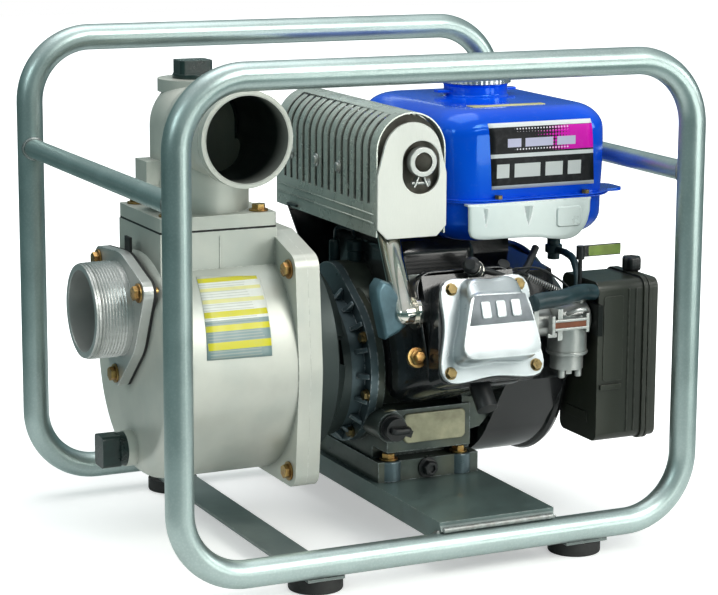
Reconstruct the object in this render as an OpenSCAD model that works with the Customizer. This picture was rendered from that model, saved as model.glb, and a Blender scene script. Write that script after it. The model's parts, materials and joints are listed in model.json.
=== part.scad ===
// Portable engine-driven water pump in a tubular carrying frame.
// Millimetres. X runs along the crankshaft from the pump to the recoil
// starter, Y runs to the rear and Z runs up. The feet stand on Z = 0.

/* [Carrying frame] */
// Length of a hoop, from tube centre to tube centre
frame_length = 510; // [500:1:530]
// Height of a hoop, from tube centre to tube centre
frame_height = 436; // [430:1:460]
// Distance between the two hoop planes
frame_width = 402; // [400:1:420]
// Outside diameter of the hoop tube
tube_d = 25.4; // [24:0.1:25.4]
// Wall of the hoop tube
tube_wall = 1.8; // [1.2:0.1:3]
// Centreline radius of the hoop corners
corner_r = 62; // [50:1:70]
// Outside diameter of the two cross tubes
cross_tube_d = 19; // [16:0.5:22]
// Height of the cross tubes above the ground
cross_tube_z = 358; // [352:1:370]
// Diameter of a rubber foot
foot_d = 50; // [40:1:54]
// Height of a rubber foot
foot_h = 13; // [12:0.5:13]
// Width of the flat strap under the pump
strap_w = 36; // [30:1:40]

/* [Pump] */
// Outside radius of the water chamber drum
drum_r = 110; // [108:0.5:111]
// Wall of the pump castings
cast_wall = 6; // [5:0.5:7]
// Outside diameter of the port threads
port_d = 88; // [86:0.5:90]
// Bore of the two ports
port_bore = 76; // [70:0.5:78]
// Number of impeller vanes
vane_count = 4; // [3:1:6]

/* [Engine] */
// Tilt of the cylinder above the horizontal
cylinder_tilt = 20; // [18:1:22]
// Cylinder bore diameter
bore_d = 66; // [64:0.5:68]
// Crank throw, which is half of the stroke
crank_throw = 25; // [22:0.5:25]
// Distance between the two base bolts along the crankshaft
base_hole_x = 75.5; // [74:0.5:76]
// Distance between the two rows of base bolts
base_hole_y = 162; // [160:0.5:164]
// Number of cooling fins on the cylinder
fin_count = 7; // [5:1:8]
// Number of fan blades on the flywheel
blade_count = 16; // [10:1:20]

/* [Fuel tank and silencer] */
// Length of the fuel tank along the crankshaft
tank_length = 178; // [170:1:180]
// Depth of the fuel tank from front to rear
tank_depth = 215; // [200:1:216]
// Number of slots along one side of the silencer guard
slot_count = 14; // [8:1:15]

/* [Hidden] */
$fn = 64;
small_fn = 32;
eps = 0.1;

// frame
half_l = frame_length / 2;
hoop_y = frame_width / 2;
strap_t = 3;
bar_z = foot_h + strap_t + tube_d / 2;
top_z = bar_z + frame_height;
vent_d = 4;
left_foot_x = -118;
right_foot_x = 150;
foot_y = 180;
plate_len = 44;
// engine channel
channel_x0 = -4;
channel_x1 = 115;
channel_t = 4;
deck_z = bar_z + tube_d / 2 + 10.1;
channel_drop = 20;
// crankshaft line
crank_y = 15;
crank_z = deck_z + 106;
cyl_x = 63;
base_mid_x = 55;
base_front_y = -50;
base_h = 20;
bolt_r = 4;
hole_r = 4.15;
head_r = 7.5;
head_h = 6.5;
// pump stations along the crankshaft
face_x = -220;
flange_x0 = -97;
seam_x = -85;
adaptor_x1 = -73;
pump_z = crank_z + 17.5;
suction_z = pump_z + 54;
nozzle_pcd = 128;
nozzle_angles = [157, 277, 37];
gasket_t = 2.5;
nozzle_flange_t = 10;
nozzle_end_x = -268;
flange_bolt_y = 88;
flange_bolt_z = 96;
neck_x0 = -210;
neck_x1 = -95;
neck_y0 = -40;
neck_y1 = 71;
neck_top = pump_z + 130;
neck_bolt_in = 13;
elbow_x = -150;
elbow_flange_t = 12.5;
elbow_z0 = neck_top + 2;
outlet_z = elbow_z0 + 90;
outlet_y = -103;
collar_len = 26;
prime_x = -152;
prime_y = 25;
prime_top = outlet_z + 43;
prime_bore = 14;
drain_z = pump_z - 81;
drain_bore = 9;
shaft_r = 10;
seal_r = 18;
volute_r = 75;
chamber_x = -160;
flap_r = 41;
flap_x = -210;
flap_hinge_z = suction_z + 42;
// engine stations
case_x1 = 115;
case_r = 66;
case_cavity_r = 56;
cover_x0 = -24;
cover_t = 8;
cover_ring_r = 65;
cover_ring_bore = 60;
journal_r = 12.5;
journal_fit = 0.03;
bearing_r = 26;
bearing_w = 15;
rear_bearing_x = 97;
pin_r = 11;
web_t = 12;
rod_gap_x = 12;
rod_len = 90;
rod_w = 20;
wrist_r = 7.5;
deck = 134;
chamber_h = 6;
head_top = 160;
cover_plane = 180;
cover_h = 33;
cam_dist = 54;
gear_module = 1.8;
crank_teeth = 20;
cam_teeth = 40;
gear_x = 20;
gear_w = 10;
valve_x = 11;
valve_y = 4;
rocker_y = 20;
rocker_z = 186;
rod_top_y = 36;
stem_r = 2.75;
tip_z = 188;
rod_foot_z = 13;
rod_lean = atan((cam_dist - rod_top_y) / (tip_z - rod_foot_z));
port_z = 148;
port_r = 9;
fin_half = 50;
fin_left = -46;
inlet_x = cyl_x + fin_half + 7;
exhaust_x = cyl_x - fin_half;
cover_bolts = [[-30, 36], [-43, -41], [46, -41], [41, 36]];
cover_wall = [[-13, 39.5], [25, 39.5], [36, -29], [-33, -29]];
cover_wall_h = 19;
cover_corner_r = 7;
cover_crown = [[-19, 19], [27, 17], [33, -27], [-33, -26]];
// cooling and starting
fan_x0 = 118;
fan_x1 = 182;
fan_r = 102;
duct_len = 112;
recoil_x1 = 222;
recoil_r = 80;
rope_r = 45;
// silencer
muffler_x = 22;
guard_y0 = -84;
guard_y1 = 150;
guard_half = 36;
guard_z0 = 296;
guard_top = 412;
tail_x = 30;
tail_z = 366;
// fuel tank
tank_x0 = 60;
tank_y0 = -90;
tank_seam = 325;
tank_top = 410;
neck_rise = 14;
tank_bottom = 283;
tank_r = 30;
sheet = 1.5;
lip = 8;
cap_x = 150;
cap_y = 32;
// carburettor and air cleaner
air_x0 = 195;
air_x1 = 250;
air_x2 = 262;
air_y0 = -140;
air_y1 = -70;
air_z0 = 90;
air_z1 = 247;
choke_x = 184;
oil_x = 8;
oil_boss_r = 15;
oil_z = crank_z - 47.5;
port_gy = crank_y - port_z * cos(cylinder_tilt) + valve_y * sin(cylinder_tilt);
port_gz = crank_z + port_z * sin(cylinder_tilt) + valve_y * cos(cylinder_tilt);
pipe_r = 10.5;
exhaust_rise = 18;
exhaust_gy = port_gy + exhaust_rise * sin(cylinder_tilt);
exhaust_gz = port_gz + exhaust_rise * cos(cylinder_tilt);
bend = [0.5, exhaust_gy, exhaust_gz];
riser_top = [8, -52, 318];
cam_y = crank_y + cam_dist * sin(cylinder_tilt);
cam_z = crank_z + cam_dist * cos(cylinder_tilt);
throw_angle = 180 - cylinder_tilt;

// a cylinder along X, from x0 to x1
module xcyl(x0, x1, r, y, z) {
    translate([x0, y, z]) rotate([0, 90, 0]) cylinder(r = r, h = x1 - x0);
}

// a cylinder along Y, from y0 to y1
module ycyl(y0, y1, r, x, z) {
    translate([x, y1, z]) rotate([90, 0, 0]) cylinder(r = r, h = y1 - y0);
}

// a flat shape drawn in (Y, Z) and pushed along X from x0 to x1
module xprism(x0, x1) {
    translate([x0, 0, 0]) rotate([90, 0, 90]) linear_extrude(x1 - x0) children();
}

// a flat shape drawn in (X, Z) and pushed along Y from y0 to y1
module yprism(y0, y1) {
    translate([0, y1, 0]) rotate([90, 0, 0]) linear_extrude(y1 - y0) children();
}

// the frame of the tilted cylinder: Z along the bore, Y up
module along_cylinder() {
    translate([cyl_x, crank_y, crank_z]) rotate([90 - cylinder_tilt, 0, 0]) children();
}

// a straight rod between two points
module rod_between(p, q, r) {
    d = q - p;
    l = norm(d);
    translate(p)
        rotate([0, acos(d[2] / l), atan2(d[1], d[0])])
            cylinder(r = r, h = l);
}

module rounded_rect(x0, x1, y0, y1, r) {
    hull() {
        for (x = [x0 + r, x1 - r], y = [y0 + r, y1 - r]) translate([x, y]) circle(r);
    }
}

// one hoop as a solid of tube diameter d, in the plane Y = 0
module hoop_solid(d) {
    lx = half_l - corner_r;
    lz = frame_height - 2 * corner_r;
    for (s = [-1, 1]) {
        translate([s * half_l, 0, bar_z + corner_r]) cylinder(d = d, h = lz);
        translate([-lx, 0, s > 0 ? top_z : bar_z]) rotate([0, 90, 0]) cylinder(d = d, h = 2 * lx);
    }
    for (q = [[1, 1, 0], [-1, 1, 90], [-1, -1, 180], [1, -1, 270]]) {
        translate([q[0] * lx, 0, bar_z + frame_height / 2 + q[1] * lz / 2])
            rotate([90, 0, 0]) rotate([0, 0, q[2]])
                rotate_extrude(angle = 90) translate([corner_r, 0]) circle(d = d);
    }
}

module hoop(y) {
    difference() {
        translate([0, y, 0]) hoop_solid(tube_d);
        translate([0, y, 0]) hoop_solid(tube_d - 2 * tube_wall);
        translate([-half_l / 2, y, 0]) cylinder(d = vent_d, h = bar_z);
    }
}

module front_hoop() color("lightsteelblue") hoop(-hoop_y);

module rear_hoop() color("lightsteelblue") hoop(hoop_y);

module cross_tubes() color("lightsteelblue") {
    for (x = [-half_l, half_l]) {
        difference() {
            ycyl(-hoop_y, hoop_y, cross_tube_d / 2, x, cross_tube_z);
            ycyl(-hoop_y - eps, hoop_y + eps, cross_tube_d / 2 - 1.6, x, cross_tube_z);
            for (y = [-hoop_y, hoop_y]) {
                translate([x, y, cross_tube_z - 20]) cylinder(d = tube_d, h = 40);
            }
        }
    }
}

module engine_channel() color("slategray") {
    difference() {
        union() {
            translate([channel_x0, -hoop_y, deck_z - channel_t])
                cube([channel_x1 - channel_x0, frame_width, channel_t]);
            for (x = [channel_x0, channel_x1 - channel_t]) {
                translate([x, -hoop_y, deck_z - channel_drop])
                    cube([channel_t, frame_width, channel_drop]);
            }
        }
        for (y = [-hoop_y, hoop_y]) xcyl(channel_x0 - 1, channel_x1 + 1, tube_d / 2, y, bar_z);
        for (x = [-1, 1], y = [0, 1]) {
            translate([base_mid_x + x * base_hole_x / 2, base_front_y + y * base_hole_y, 0])
                cylinder(r = hole_r, h = deck_z + 1);
        }
    }
}

module foot_straps() color("slategray") {
    difference() {
        union() {
            translate([left_foot_x - strap_w / 2, -hoop_y - 4, foot_h])
                cube([strap_w, frame_width + 8, strap_t]);
            for (s = [-1, 1]) {
                translate([right_foot_x - plate_len / 2, s * foot_y - 24, foot_h])
                    cube([plate_len, 48, strap_t]);
            }
        }
        for (x = [left_foot_x, right_foot_x], s = [-1, 1]) {
            translate([x, s * foot_y, 0]) cylinder(r = hole_r, h = 40);
        }
    }
}

module rubber_feet() color("#20201f") {
    for (x = [left_foot_x, right_foot_x], s = [-1, 1]) {
        translate([x, s * foot_y, 0]) difference() {
            cylinder(d = foot_d, h = foot_h);
            translate([0, 0, -1]) cylinder(r = hole_r, h = foot_h + 2);
            translate([0, 0, -1]) cylinder(r = 10, h = 7.5);
        }
    }
}

// hexagon head, washer flange and shank, seated at the origin and pointing down
module flange_bolt(len) {
    cylinder(r = head_r * 0.9, h = head_h, $fn = 6);
    cylinder(r = head_r + 1.5, h = 1.8, $fn = small_fn);
    translate([0, 0, -len]) cylinder(r = bolt_r, h = len, $fn = small_fn);
}

module frame_bolts() color("goldenrod") {
    for (x = [left_foot_x, right_foot_x], s = [-1, 1]) {
        translate([x, s * foot_y, 6.5]) {
            translate([0, 0, -5]) cylinder(r = 6.5, h = 5, $fn = 6);
            cylinder(r = bolt_r, h = foot_h + 4, $fn = small_fn);
            translate([0, 0, foot_h + strap_t - 6.5]) cylinder(r = 7.4, h = head_h, $fn = 6);
        }
    }
    for (x = [-1, 1], y = [0, 1]) {
        translate([base_mid_x + x * base_hole_x / 2, base_front_y + y * base_hole_y, deck_z]) {
            translate([0, 0, base_h]) flange_bolt(base_h + channel_t + 8);
            translate([0, 0, -channel_t - head_h]) cylinder(r = head_r, h = head_h, $fn = 6);
        }
    }
}

// outline shared by the chamber flange and the adaptor, drawn in (Y, Z)
module pump_flange_outline() {
    hull() {
        for (y = [-1, 1], z = [-1, 1]) {
            translate([crank_y + y * flange_bolt_y, pump_z + z * flange_bolt_z]) circle(15);
        }
        translate([crank_y, pump_z]) circle(drum_r + 1);
        for (y = [-1, 1]) translate([crank_y + y * 40, pump_z + 119]) circle(6);
    }
}

// revolved drum, r1 at the open end and a rounded front edge of radius f
module drum(x0, x1, r1, f) {
    translate([x1, crank_y, pump_z]) rotate([0, -90, 0]) rotate_extrude() {
        h = x1 - x0;
        square([r1, h - f]);
        square([r1 - f, h]);
        intersection() {
            translate([r1 - f, h - f]) circle(f);
            square([r1, h]);
        }
    }
}

module pump_bolt_holes(r) {
    for (y = [-1, 1], z = [-1, 1]) {
        xcyl(flange_x0 - 1, seam_x + 9, r, crank_y + y * flange_bolt_y, pump_z + z * flange_bolt_z);
    }
}

// bolt places of the suction nozzle
module at_nozzle_bolts() {
    for (a = nozzle_angles) {
        translate([0, nozzle_pcd / 2 * cos(a), nozzle_pcd / 2 * sin(a)]) children();
    }
}

// bolt places of the delivery neck
module at_neck_bolts() {
    for (x = [neck_x0 + neck_bolt_in, neck_x1 - neck_bolt_in]) {
        for (y = [neck_y0 + neck_bolt_in, neck_y1 - neck_bolt_in]) translate([x, y, 0]) children();
    }
}

// section of the suction chamber, drawn in (Y, Z)
module suction_chamber(r) {
    hull() {
        translate([crank_y, suction_z]) circle(r + 5);
        translate([crank_y, crank_z]) circle(r - 3);
    }
}

module pump_casing() color("#c9c7bd") {
    difference() {
        union() {
            difference() {
                union() {
                    drum(face_x, seam_x, drum_r, 22);
                    xprism(flange_x0, seam_x) pump_flange_outline();
                    translate([neck_x0, neck_y0, pump_z + 25])
                        cube([neck_x1 - neck_x0, neck_y1 - neck_y0, neck_top - pump_z - 25]);
                    xcyl(face_x - 9, -200, 17, crank_y, drain_z);
                }
                drum(face_x + cast_wall, seam_x + 1, drum_r - cast_wall, 10);
                translate([elbow_x, crank_y, pump_z]) cylinder(r = 42, h = 200);
            }
            intersection() {
                xprism(face_x + 3, chamber_x + 5) difference() {
                    suction_chamber(47);
                    suction_chamber(43);
                }
                drum(face_x + 3, seam_x, drum_r - 2, 20);
            }
            xprism(chamber_x, chamber_x + 5) suction_chamber(45);
        }
        xcyl(face_x - 1, face_x + 8, port_bore / 2, crank_y, suction_z);
        xcyl(chamber_x - 1, chamber_x + 6, 34, crank_y, crank_z);
        xcyl(face_x - 10, -190, drain_bore, crank_y, drain_z);
        pump_bolt_holes(hole_r);
        translate([0, crank_y, suction_z]) at_nozzle_bolts() {
            xcyl(face_x - 1, face_x + 5.5, hole_r, 0, 0);
        }
        translate([0, 0, neck_top - 18]) at_neck_bolts() cylinder(r = hole_r, h = 20);
    }
}

module volute() color("#8f9492") {
    difference() {
        union() {
            xcyl(-149, seam_x - 0.1, volute_r, crank_y, crank_z);
            xcyl(chamber_x + 5.1, -149, 40, crank_y, crank_z);
        }
        xcyl(-144, seam_x, volute_r - 6, crank_y, crank_z);
        xcyl(chamber_x, -140, 32, crank_y, crank_z);
        translate([-140, crank_y + 30, crank_z]) cube([40, 26, 100]);
    }
}

module impeller() color("#6f7a80") {
    difference() {
        union() {
            xcyl(-100, -95, 62, crank_y, crank_z);
            xcyl(-141, -100, 16, crank_y, crank_z);
            for (i = [0 : vane_count - 1]) {
                translate([0, crank_y, crank_z]) rotate([i * 360 / vane_count, 0, 0])
                    xprism(-138, -99) intersection() {
                        translate([0, 32]) difference() {
                            circle(34);
                            circle(30);
                        }
                        circle(60);
                        square([70, 70]);
                    }
            }
        }
        xcyl(-142, -94, shaft_r + 0.02, crank_y, crank_z);
    }
}

module shaft_seal() color("#3c3c40") {
    difference() {
        xcyl(-94.8, -74, seal_r, crank_y, crank_z);
        xcyl(-96, -73, shaft_r + 0.05, crank_y, crank_z);
    }
}

module engine_adaptor() color("#c4c2b8") {
    difference() {
        union() {
            xprism(seam_x, adaptor_x1) pump_flange_outline();
            xcyl(adaptor_x1, -52, 101, crank_y, pump_z);
            translate([-52, crank_y, pump_z]) rotate([0, 90, 0]) cylinder(r1 = 101, r2 = 80, h = 16);
            xcyl(-38, cover_x0, 70, crank_y, crank_z);
        }
        xcyl(adaptor_x1, -56, 95, crank_y, pump_z);
        xcyl(-57, cover_x0 + 1, cover_ring_bore, crank_y, crank_z);
        xcyl(seam_x - 1, adaptor_x1 + 1, seal_r, crank_y, crank_z);
        pump_bolt_holes(hole_r);
        for (a = [20, 160]) {
            translate([-50, crank_y, crank_z]) rotate([a, 0, 0]) translate([0, 40, -13])
                cube([18, 80, 26]);
        }
    }
    difference() {
        xcyl(adaptor_x1 - 1, -60, 26, crank_y, crank_z);
        xcyl(adaptor_x1 - 2, -59, seal_r, crank_y, crank_z);
    }
}

// three-lobed outline of the suction joint, drawn in (Y, Z)
module nozzle_outline() {
    hull() {
        circle(54);
        for (a = nozzle_angles) {
            translate([nozzle_pcd / 2 * cos(a), nozzle_pcd / 2 * sin(a)]) circle(12);
        }
    }
}

module suction_nozzle() color("#cfcdc6") {
    x1 = face_x - gasket_t;
    x0 = x1 - nozzle_flange_t;
    difference() {
        union() {
            translate([0, crank_y, suction_z]) xprism(x0, x1) nozzle_outline();
            xcyl(nozzle_end_x, x0, port_d / 2, crank_y, suction_z);
        }
        xcyl(nozzle_end_x - 1, x1 + 1, port_bore / 2, crank_y, suction_z);
        translate([0, crank_y, suction_z]) at_nozzle_bolts() xcyl(x0 - 1, x1 + 1, hole_r, 0, 0);
    }
}

module valve_gasket() color("#161616") {
    difference() {
        translate([0, crank_y, suction_z]) xprism(face_x - gasket_t, face_x) {
            nozzle_outline();
            translate([-7, 50]) square([14, 17]);
        }
        xcyl(face_x - 4, face_x + 1, port_bore / 2, crank_y, suction_z);
        translate([0, crank_y, suction_z]) at_nozzle_bolts() {
            xcyl(face_x - 4, face_x + 1, hole_r, 0, 0);
        }
    }
}

module check_flap() color("#232323") {
    xcyl(flap_x - 3.5, flap_x + 0.5, flap_r, crank_y, suction_z);
    translate([flap_x - 3.5, crank_y - 9, suction_z + 30]) cube([4, 18, 12]);
    ycyl(crank_y - 12, crank_y + 12, 2.2, flap_x - 1.2, flap_hinge_z);
}

module neck_plate(z0, z1) {
    translate([0, 0, z0]) linear_extrude(z1 - z0)
        rounded_rect(neck_x0, neck_x1, neck_y0, neck_y1, 3);
}

module delivery_gasket() color("#161616") {
    difference() {
        neck_plate(neck_top, elbow_z0);
        translate([elbow_x, crank_y, neck_top - 1]) cylinder(r = 40, h = 4);
        translate([0, 0, neck_top - 1]) at_neck_bolts() cylinder(r = hole_r, h = 4);
    }
}

module delivery_elbow() color("#c6c4ba") {
    difference() {
        union() {
            neck_plate(elbow_z0, elbow_z0 + elbow_flange_t);
            translate([elbow_x, crank_y, elbow_z0 + 1]) cylinder(r = 46, h = outlet_z - elbow_z0 - 1);
            translate([elbow_x, crank_y, outlet_z]) sphere(r = 46);
            ycyl(outlet_y + 1, crank_y, 41.5, elbow_x, outlet_z);
            ycyl(outlet_y, outlet_y + collar_len, port_d / 2, elbow_x, outlet_z);
            translate([prime_x, prime_y, outlet_z]) cylinder(r = 29, h = prime_top - outlet_z);
            translate([prime_x, prime_y, prime_top - 12]) cylinder(r = 33, h = 12);
            translate([-208, 0, outlet_z - 58]) cube([30, 30, 28]);
            translate([-202, 0, outlet_z - 70]) cube([20, 30, 13]);
        }
        translate([elbow_x, crank_y, elbow_z0 - 1]) cylinder(r = 38, h = outlet_z - elbow_z0 + 1);
        translate([elbow_x, crank_y, outlet_z]) sphere(r = 38);
        ycyl(outlet_y - 1, crank_y, port_bore / 2 + 1.5, elbow_x, outlet_z);
        translate([prime_x, prime_y, outlet_z]) cylinder(r = prime_bore, h = 60);
        translate([elbow_x, crank_y, prime_top]) cylinder(r = 40, h = 20);
        translate([0, 0, elbow_z0 - 1]) at_neck_bolts() cylinder(r = hole_r, h = 20);
    }
}

module priming_cap() color("#123430") {
    translate([prime_x, prime_y, prime_top]) {
        translate([0, 0, -9]) cylinder(r = prime_bore - 0.1, h = 10);
        cylinder(r = 19, h = 4);
        translate([0, 0, 3]) linear_extrude(14) rounded_rect(-16, 16, -12, 12, 4);
    }
}

module drain_plug() color("#123430") {
    x = face_x - 9;
    xcyl(x, x + 16, drain_bore - 0.1, crank_y, drain_z);
    xcyl(x - 7, x, 16, crank_y, drain_z);
    translate([0, crank_y, drain_z]) xprism(x - 24, x - 6) rounded_rect(-12, 12, -15, 15, 4);
}

module pump_bolts() color("#b8862f") {
    for (y = [-1, 1], z = [-1, 1]) {
        translate([flange_x0, crank_y + y * flange_bolt_y, pump_z + z * flange_bolt_z])
            rotate([0, -90, 0]) flange_bolt(20.5);
    }
    translate([face_x - gasket_t - nozzle_flange_t, crank_y, suction_z]) at_nozzle_bolts() {
        rotate([0, -90, 0]) flange_bolt(17.5);
    }
    translate([0, 0, elbow_z0 + elbow_flange_t]) at_neck_bolts() flange_bolt(30);
}

// ---- engine ----

// places of the screws that hold the crankcase cover, on a circle round the shaft
module at_cover_screws() {
    for (a = [150, 195, 240, 300, 345, 20]) {
        translate([0, crank_y + 72 * cos(a), crank_z + 72 * sin(a)]) children();
    }
}

module at_base_bolts() {
    for (x = [-1, 1], y = [0, 1]) {
        translate([base_mid_x + x * base_hole_x / 2, base_front_y + y * base_hole_y, deck_z])
            children();
    }
}

// places of the four head bolts, in the frame of the cylinder
module at_head_bolts() {
    for (p = [[-36, -30], [38, -30], [-31, 31], [33, 31]]) translate([p[0], p[1], 0]) children();
}

module pushrod(x, r, z0, z1) {
    translate([x, cam_dist, 0]) rotate([rod_lean, 0, 0]) translate([0, 0, z0])
        cylinder(r = r, h = z1 - z0, $fn = small_fn);
}

module crankcase() color("#2b2f31") {
    difference() {
        union() {
            xcyl(0, case_x1, case_r, crank_y, crank_z);
            xcyl(0, 7, 78, crank_y, crank_z);
            xcyl(0, case_x1, 45, cam_y, cam_z);
            translate([2, base_front_y - 9, deck_z]) cube([108, base_hole_y + 18, base_h]);
            translate([5, -39, deck_z + 1]) cube([105, 140, crank_z - deck_z]);
            translate([5, -72, 84]) cube([89, 36, 41]);
            ycyl(-76, -40, oil_boss_r, oil_x, oil_z);
            along_cylinder() {
                translate([0, 0, 40]) cylinder(r = 41, h = deck - 40);
                translate([-20, 20, 38]) cube([40, 39, deck - 38]);
                at_head_bolts() translate([0, 0, 96]) cylinder(r = 8, h = deck - 96, $fn = small_fn);
                for (i = [0 : fin_count - 1]) {
                    translate([fin_left, -48, deck - 2.5 - i * 10.5])
                        cube([fin_half - fin_left, 108, 2.5]);
                }
            }
        }
        difference() {
            union() {
                xcyl(-1, 107, case_cavity_r, crank_y, crank_z);
                xcyl(-1, 107, 39.5, cam_y, cam_z);
                translate([9, -33, deck_z + 8]) cube([96, 128, crank_z - deck_z - 8]);
            }
            xcyl(95, 108, 34, crank_y, crank_z);
            xcyl(100, 108, 12, cam_y, cam_z);
        }
        xcyl(94, 112, bearing_r, crank_y, crank_z);
        xcyl(100, case_x1 + 1, 14, crank_y, crank_z);
        xcyl(98, 112.5, 7.05, cam_y, cam_z);
        ycyl(-77, -30, 7.5, oil_x, oil_z);
        along_cylinder() {
            translate([0, 0, 20]) cylinder(d = bore_d, h = deck);
            for (x = [-valve_x, valve_x]) pushrod(x, 4, 20, deck + 5);
            at_head_bolts() translate([0, 0, 104]) cylinder(r = hole_r, h = 40, $fn = small_fn);
        }
        at_base_bolts() translate([0, 0, -1]) cylinder(r = hole_r, h = base_h + 2, $fn = small_fn);
        at_cover_screws() xcyl(-1, 7.5, 3.1, 0, 0);
    }
}

module crankcase_cover() color("#9fb4bf") {
    difference() {
        union() {
            xprism(-cover_t, 0) hull() {
                translate([crank_y, crank_z]) circle(78);
                translate([cam_y, cam_z]) circle(45);
            }
            xcyl(cover_x0, -cover_t, cover_ring_r, crank_y, crank_z);
        }
        difference() {
            xcyl(cover_x0 - 1, -cover_t, cover_ring_bore, crank_y, crank_z);
            xcyl(cover_x0 - 2, 0, 34, crank_y, crank_z);
            for (a = [0 : 60 : 359]) {
                translate([cover_x0 - 1, crank_y, crank_z]) rotate([a, 0, 0])
                    translate([0, 0, -3]) cube([30, 65, 6]);
            }
        }
        xcyl(-bearing_w, 1, bearing_r, crank_y, crank_z);
        xcyl(cover_x0 - 1, 0, 13.5, crank_y, crank_z);
        xcyl(-6, 1, 7.05, cam_y, cam_z);
        ycyl(-80, -39.5, oil_boss_r + 0.1, oil_x, oil_z);
        at_cover_screws() xcyl(-cover_t - 1, 1, 3.1, 0, 0);
    }
}

// flat outline of the rocker cover flange, in the frame of the cylinder
module cover_outline(grow) {
    lobes(cover_bolts, 10 + grow);
}

module rocker_room() {
    difference() {
        cover_outline(-5);
        for (p = cover_bolts) translate(p) circle(7.5);
    }
}

// height up the head at which a port comes out, s is -1 for the exhaust side
function port_exit_y(s) = s > 0 ? valve_y : valve_y + exhaust_rise;

module cylinder_head() color("#3a3f42") along_cylinder() {
    difference() {
        union() {
            translate([-40, -38, deck]) cube([80, 88, head_top - deck]);
            for (z = [deck, deck + 8, deck + 16]) {
                translate([fin_left, -46, z]) cube([fin_half - fin_left, 100, 2.5]);
            }
            translate([fin_left, -46, head_top - 4]) cube([fin_half - fin_left, 100, 4]);
            translate([0, 0, head_top - 1]) linear_extrude(cover_plane - head_top + 1)
                cover_outline(0);
            for (s = [-1, 1]) {
                translate([s > 0 ? fin_half - 15 : -fin_half, port_exit_y(s), port_z])
                    rotate([0, 90, 0]) cylinder(r = port_z - deck - 0.1, h = 22);
            }
        }
        translate([0, 0, deck - 1]) cylinder(r = 29, h = chamber_h + 1);
        for (s = [-1, 1]) {
            translate([s * valve_x, valve_y, deck]) cylinder(r = 10, h = port_z - deck);
            rod_between([s * valve_x, valve_y, port_z],
                [s * (fin_half + 8), port_exit_y(s), port_z], port_r);
            translate([s * valve_x, valve_y, port_z]) cylinder(r = stem_r + 0.05, h = 40);
            translate([s * valve_x - 4.5, 31, deck - 1]) cube([9, 16, head_top - deck + 8]);
        }
        translate([0, 0, head_top + 6]) linear_extrude(cover_plane) rocker_room();
        for (p = cover_bolts) translate([p[0], p[1], cover_plane - 14])
            cylinder(r = 3.1, h = 20, $fn = small_fn);
        at_head_bolts() {
            translate([0, 0, deck - 1]) cylinder(r = hole_r, h = 40, $fn = small_fn);
            translate([0, 0, head_top + 6]) cylinder(r = 7, h = 30, $fn = small_fn);
        }
        spark_line() cylinder(r = 7.05, h = 60);
        spark_line() translate([0, 0, 21]) cylinder(r = 12, h = 60);
    }
    difference() {
        for (x = [-20, -3, 18]) translate([x, 15, head_top + 4]) cube([x == -3 ? 6 : 4, 10, 27]);
        translate([0, rocker_y, rocker_z]) rotate([0, 90, 0]) cylinder(r = 3, h = 60, center = true);
    }
    translate([-20, rocker_y, rocker_z]) rotate([0, 90, 0]) cylinder(r = 3.5, h = 42);
}

// axis of the spark plug, starting at its tip
module spark_line() {
    translate([0, -10, deck + 6]) rotate([90 - 20, 0, 0]) children();
}

module rocker_cover() color("#d3d3ce") along_cylinder() {
    difference() {
        union() {
            translate([0, 0, cover_plane]) linear_extrude(4) cover_outline(0);
            cover_body(0, 3);
        }
        cover_body(-3, -1);
        for (p = cover_bolts) translate([p[0], p[1], cover_plane - 1])
            cylinder(r = 3.1, h = 10, $fn = small_fn);
    }
    for (i = [-1 : 1]) {
        translate([i * 15.5 + 3, 10.5, cover_plane + cover_h - 0.5]) linear_extrude(2)
            square([10, 16], center = true);
    }
}

// raised part of the cover: upright walls from z0 above the flange, then a slope to the flat crown
module cover_body(grow, z0) {
    hull() {
        translate([0, 0, cover_plane + z0]) linear_extrude(cover_wall_h + grow - z0)
            lobes(cover_wall, cover_corner_r + grow);
        translate([0, 0, cover_plane + cover_h + grow - 1]) linear_extrude(1)
            lobes(cover_crown, cover_corner_r + grow);
    }
}

// outline round discs of radius r at some points
module lobes(points, r) {
    hull() {
        for (p = points) translate(p) circle(r);
    }
}

// small screw with a hexagon flange head, seated at the origin and pointing down
module cover_screw(len) {
    cylinder(r = 5, h = 5, $fn = 6);
    cylinder(r = 6, h = 1.5, $fn = small_fn);
    translate([0, 0, -len]) cylinder(r = 3, h = len, $fn = small_fn);
}

module engine_screws() color("#a98a45") {
    along_cylinder() {
        for (p = cover_bolts) translate([p[0], p[1], cover_plane + 4]) cover_screw(17);
        at_head_bolts() translate([0, 0, head_top + 6]) {
            cylinder(r = 6, h = 7, $fn = 6);
            translate([0, 0, -60]) cylinder(r = bolt_r, h = 60, $fn = small_fn);
        }
    }
    translate([-cover_t, 0, 0]) at_cover_screws() rotate([0, -90, 0]) cover_screw(15);
    for (x = [tank_x0 + 50, tank_x0 + 145]) {
        translate([x, tank_y0 - 4, tank_seam + sheet]) cylinder(r = 4, h = 3.5, $fn = 6);
        translate([x, tank_y0 - 4, tank_seam - 6]) cylinder(r = 2.4, h = 8, $fn = small_fn);
    }
}

module crank_web(x0) {
    xprism(x0, x0 + web_t) translate([crank_y, crank_z]) rotate(throw_angle) {
        hull() {
            circle(17);
            translate([crank_throw, 0]) circle(16);
        }
        intersection() {
            circle(40);
            translate([-42, -36]) square([42, 72]);
        }
    }
}

// straight-sided gear outline with n teeth
module gear_outline(n) {
    rp = gear_module * n / 2;
    polygon([for (i = [0 : n - 1], k = [0 : 3])
        let (a = 360 / n * (i + [-0.36, -0.13, 0.13, 0.36][k]))
        let (r = (k == 1 || k == 2) ? rp + 0.8 * gear_module : rp - 1.1 * gear_module)
        [r * cos(a), r * sin(a)]]);
}

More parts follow.
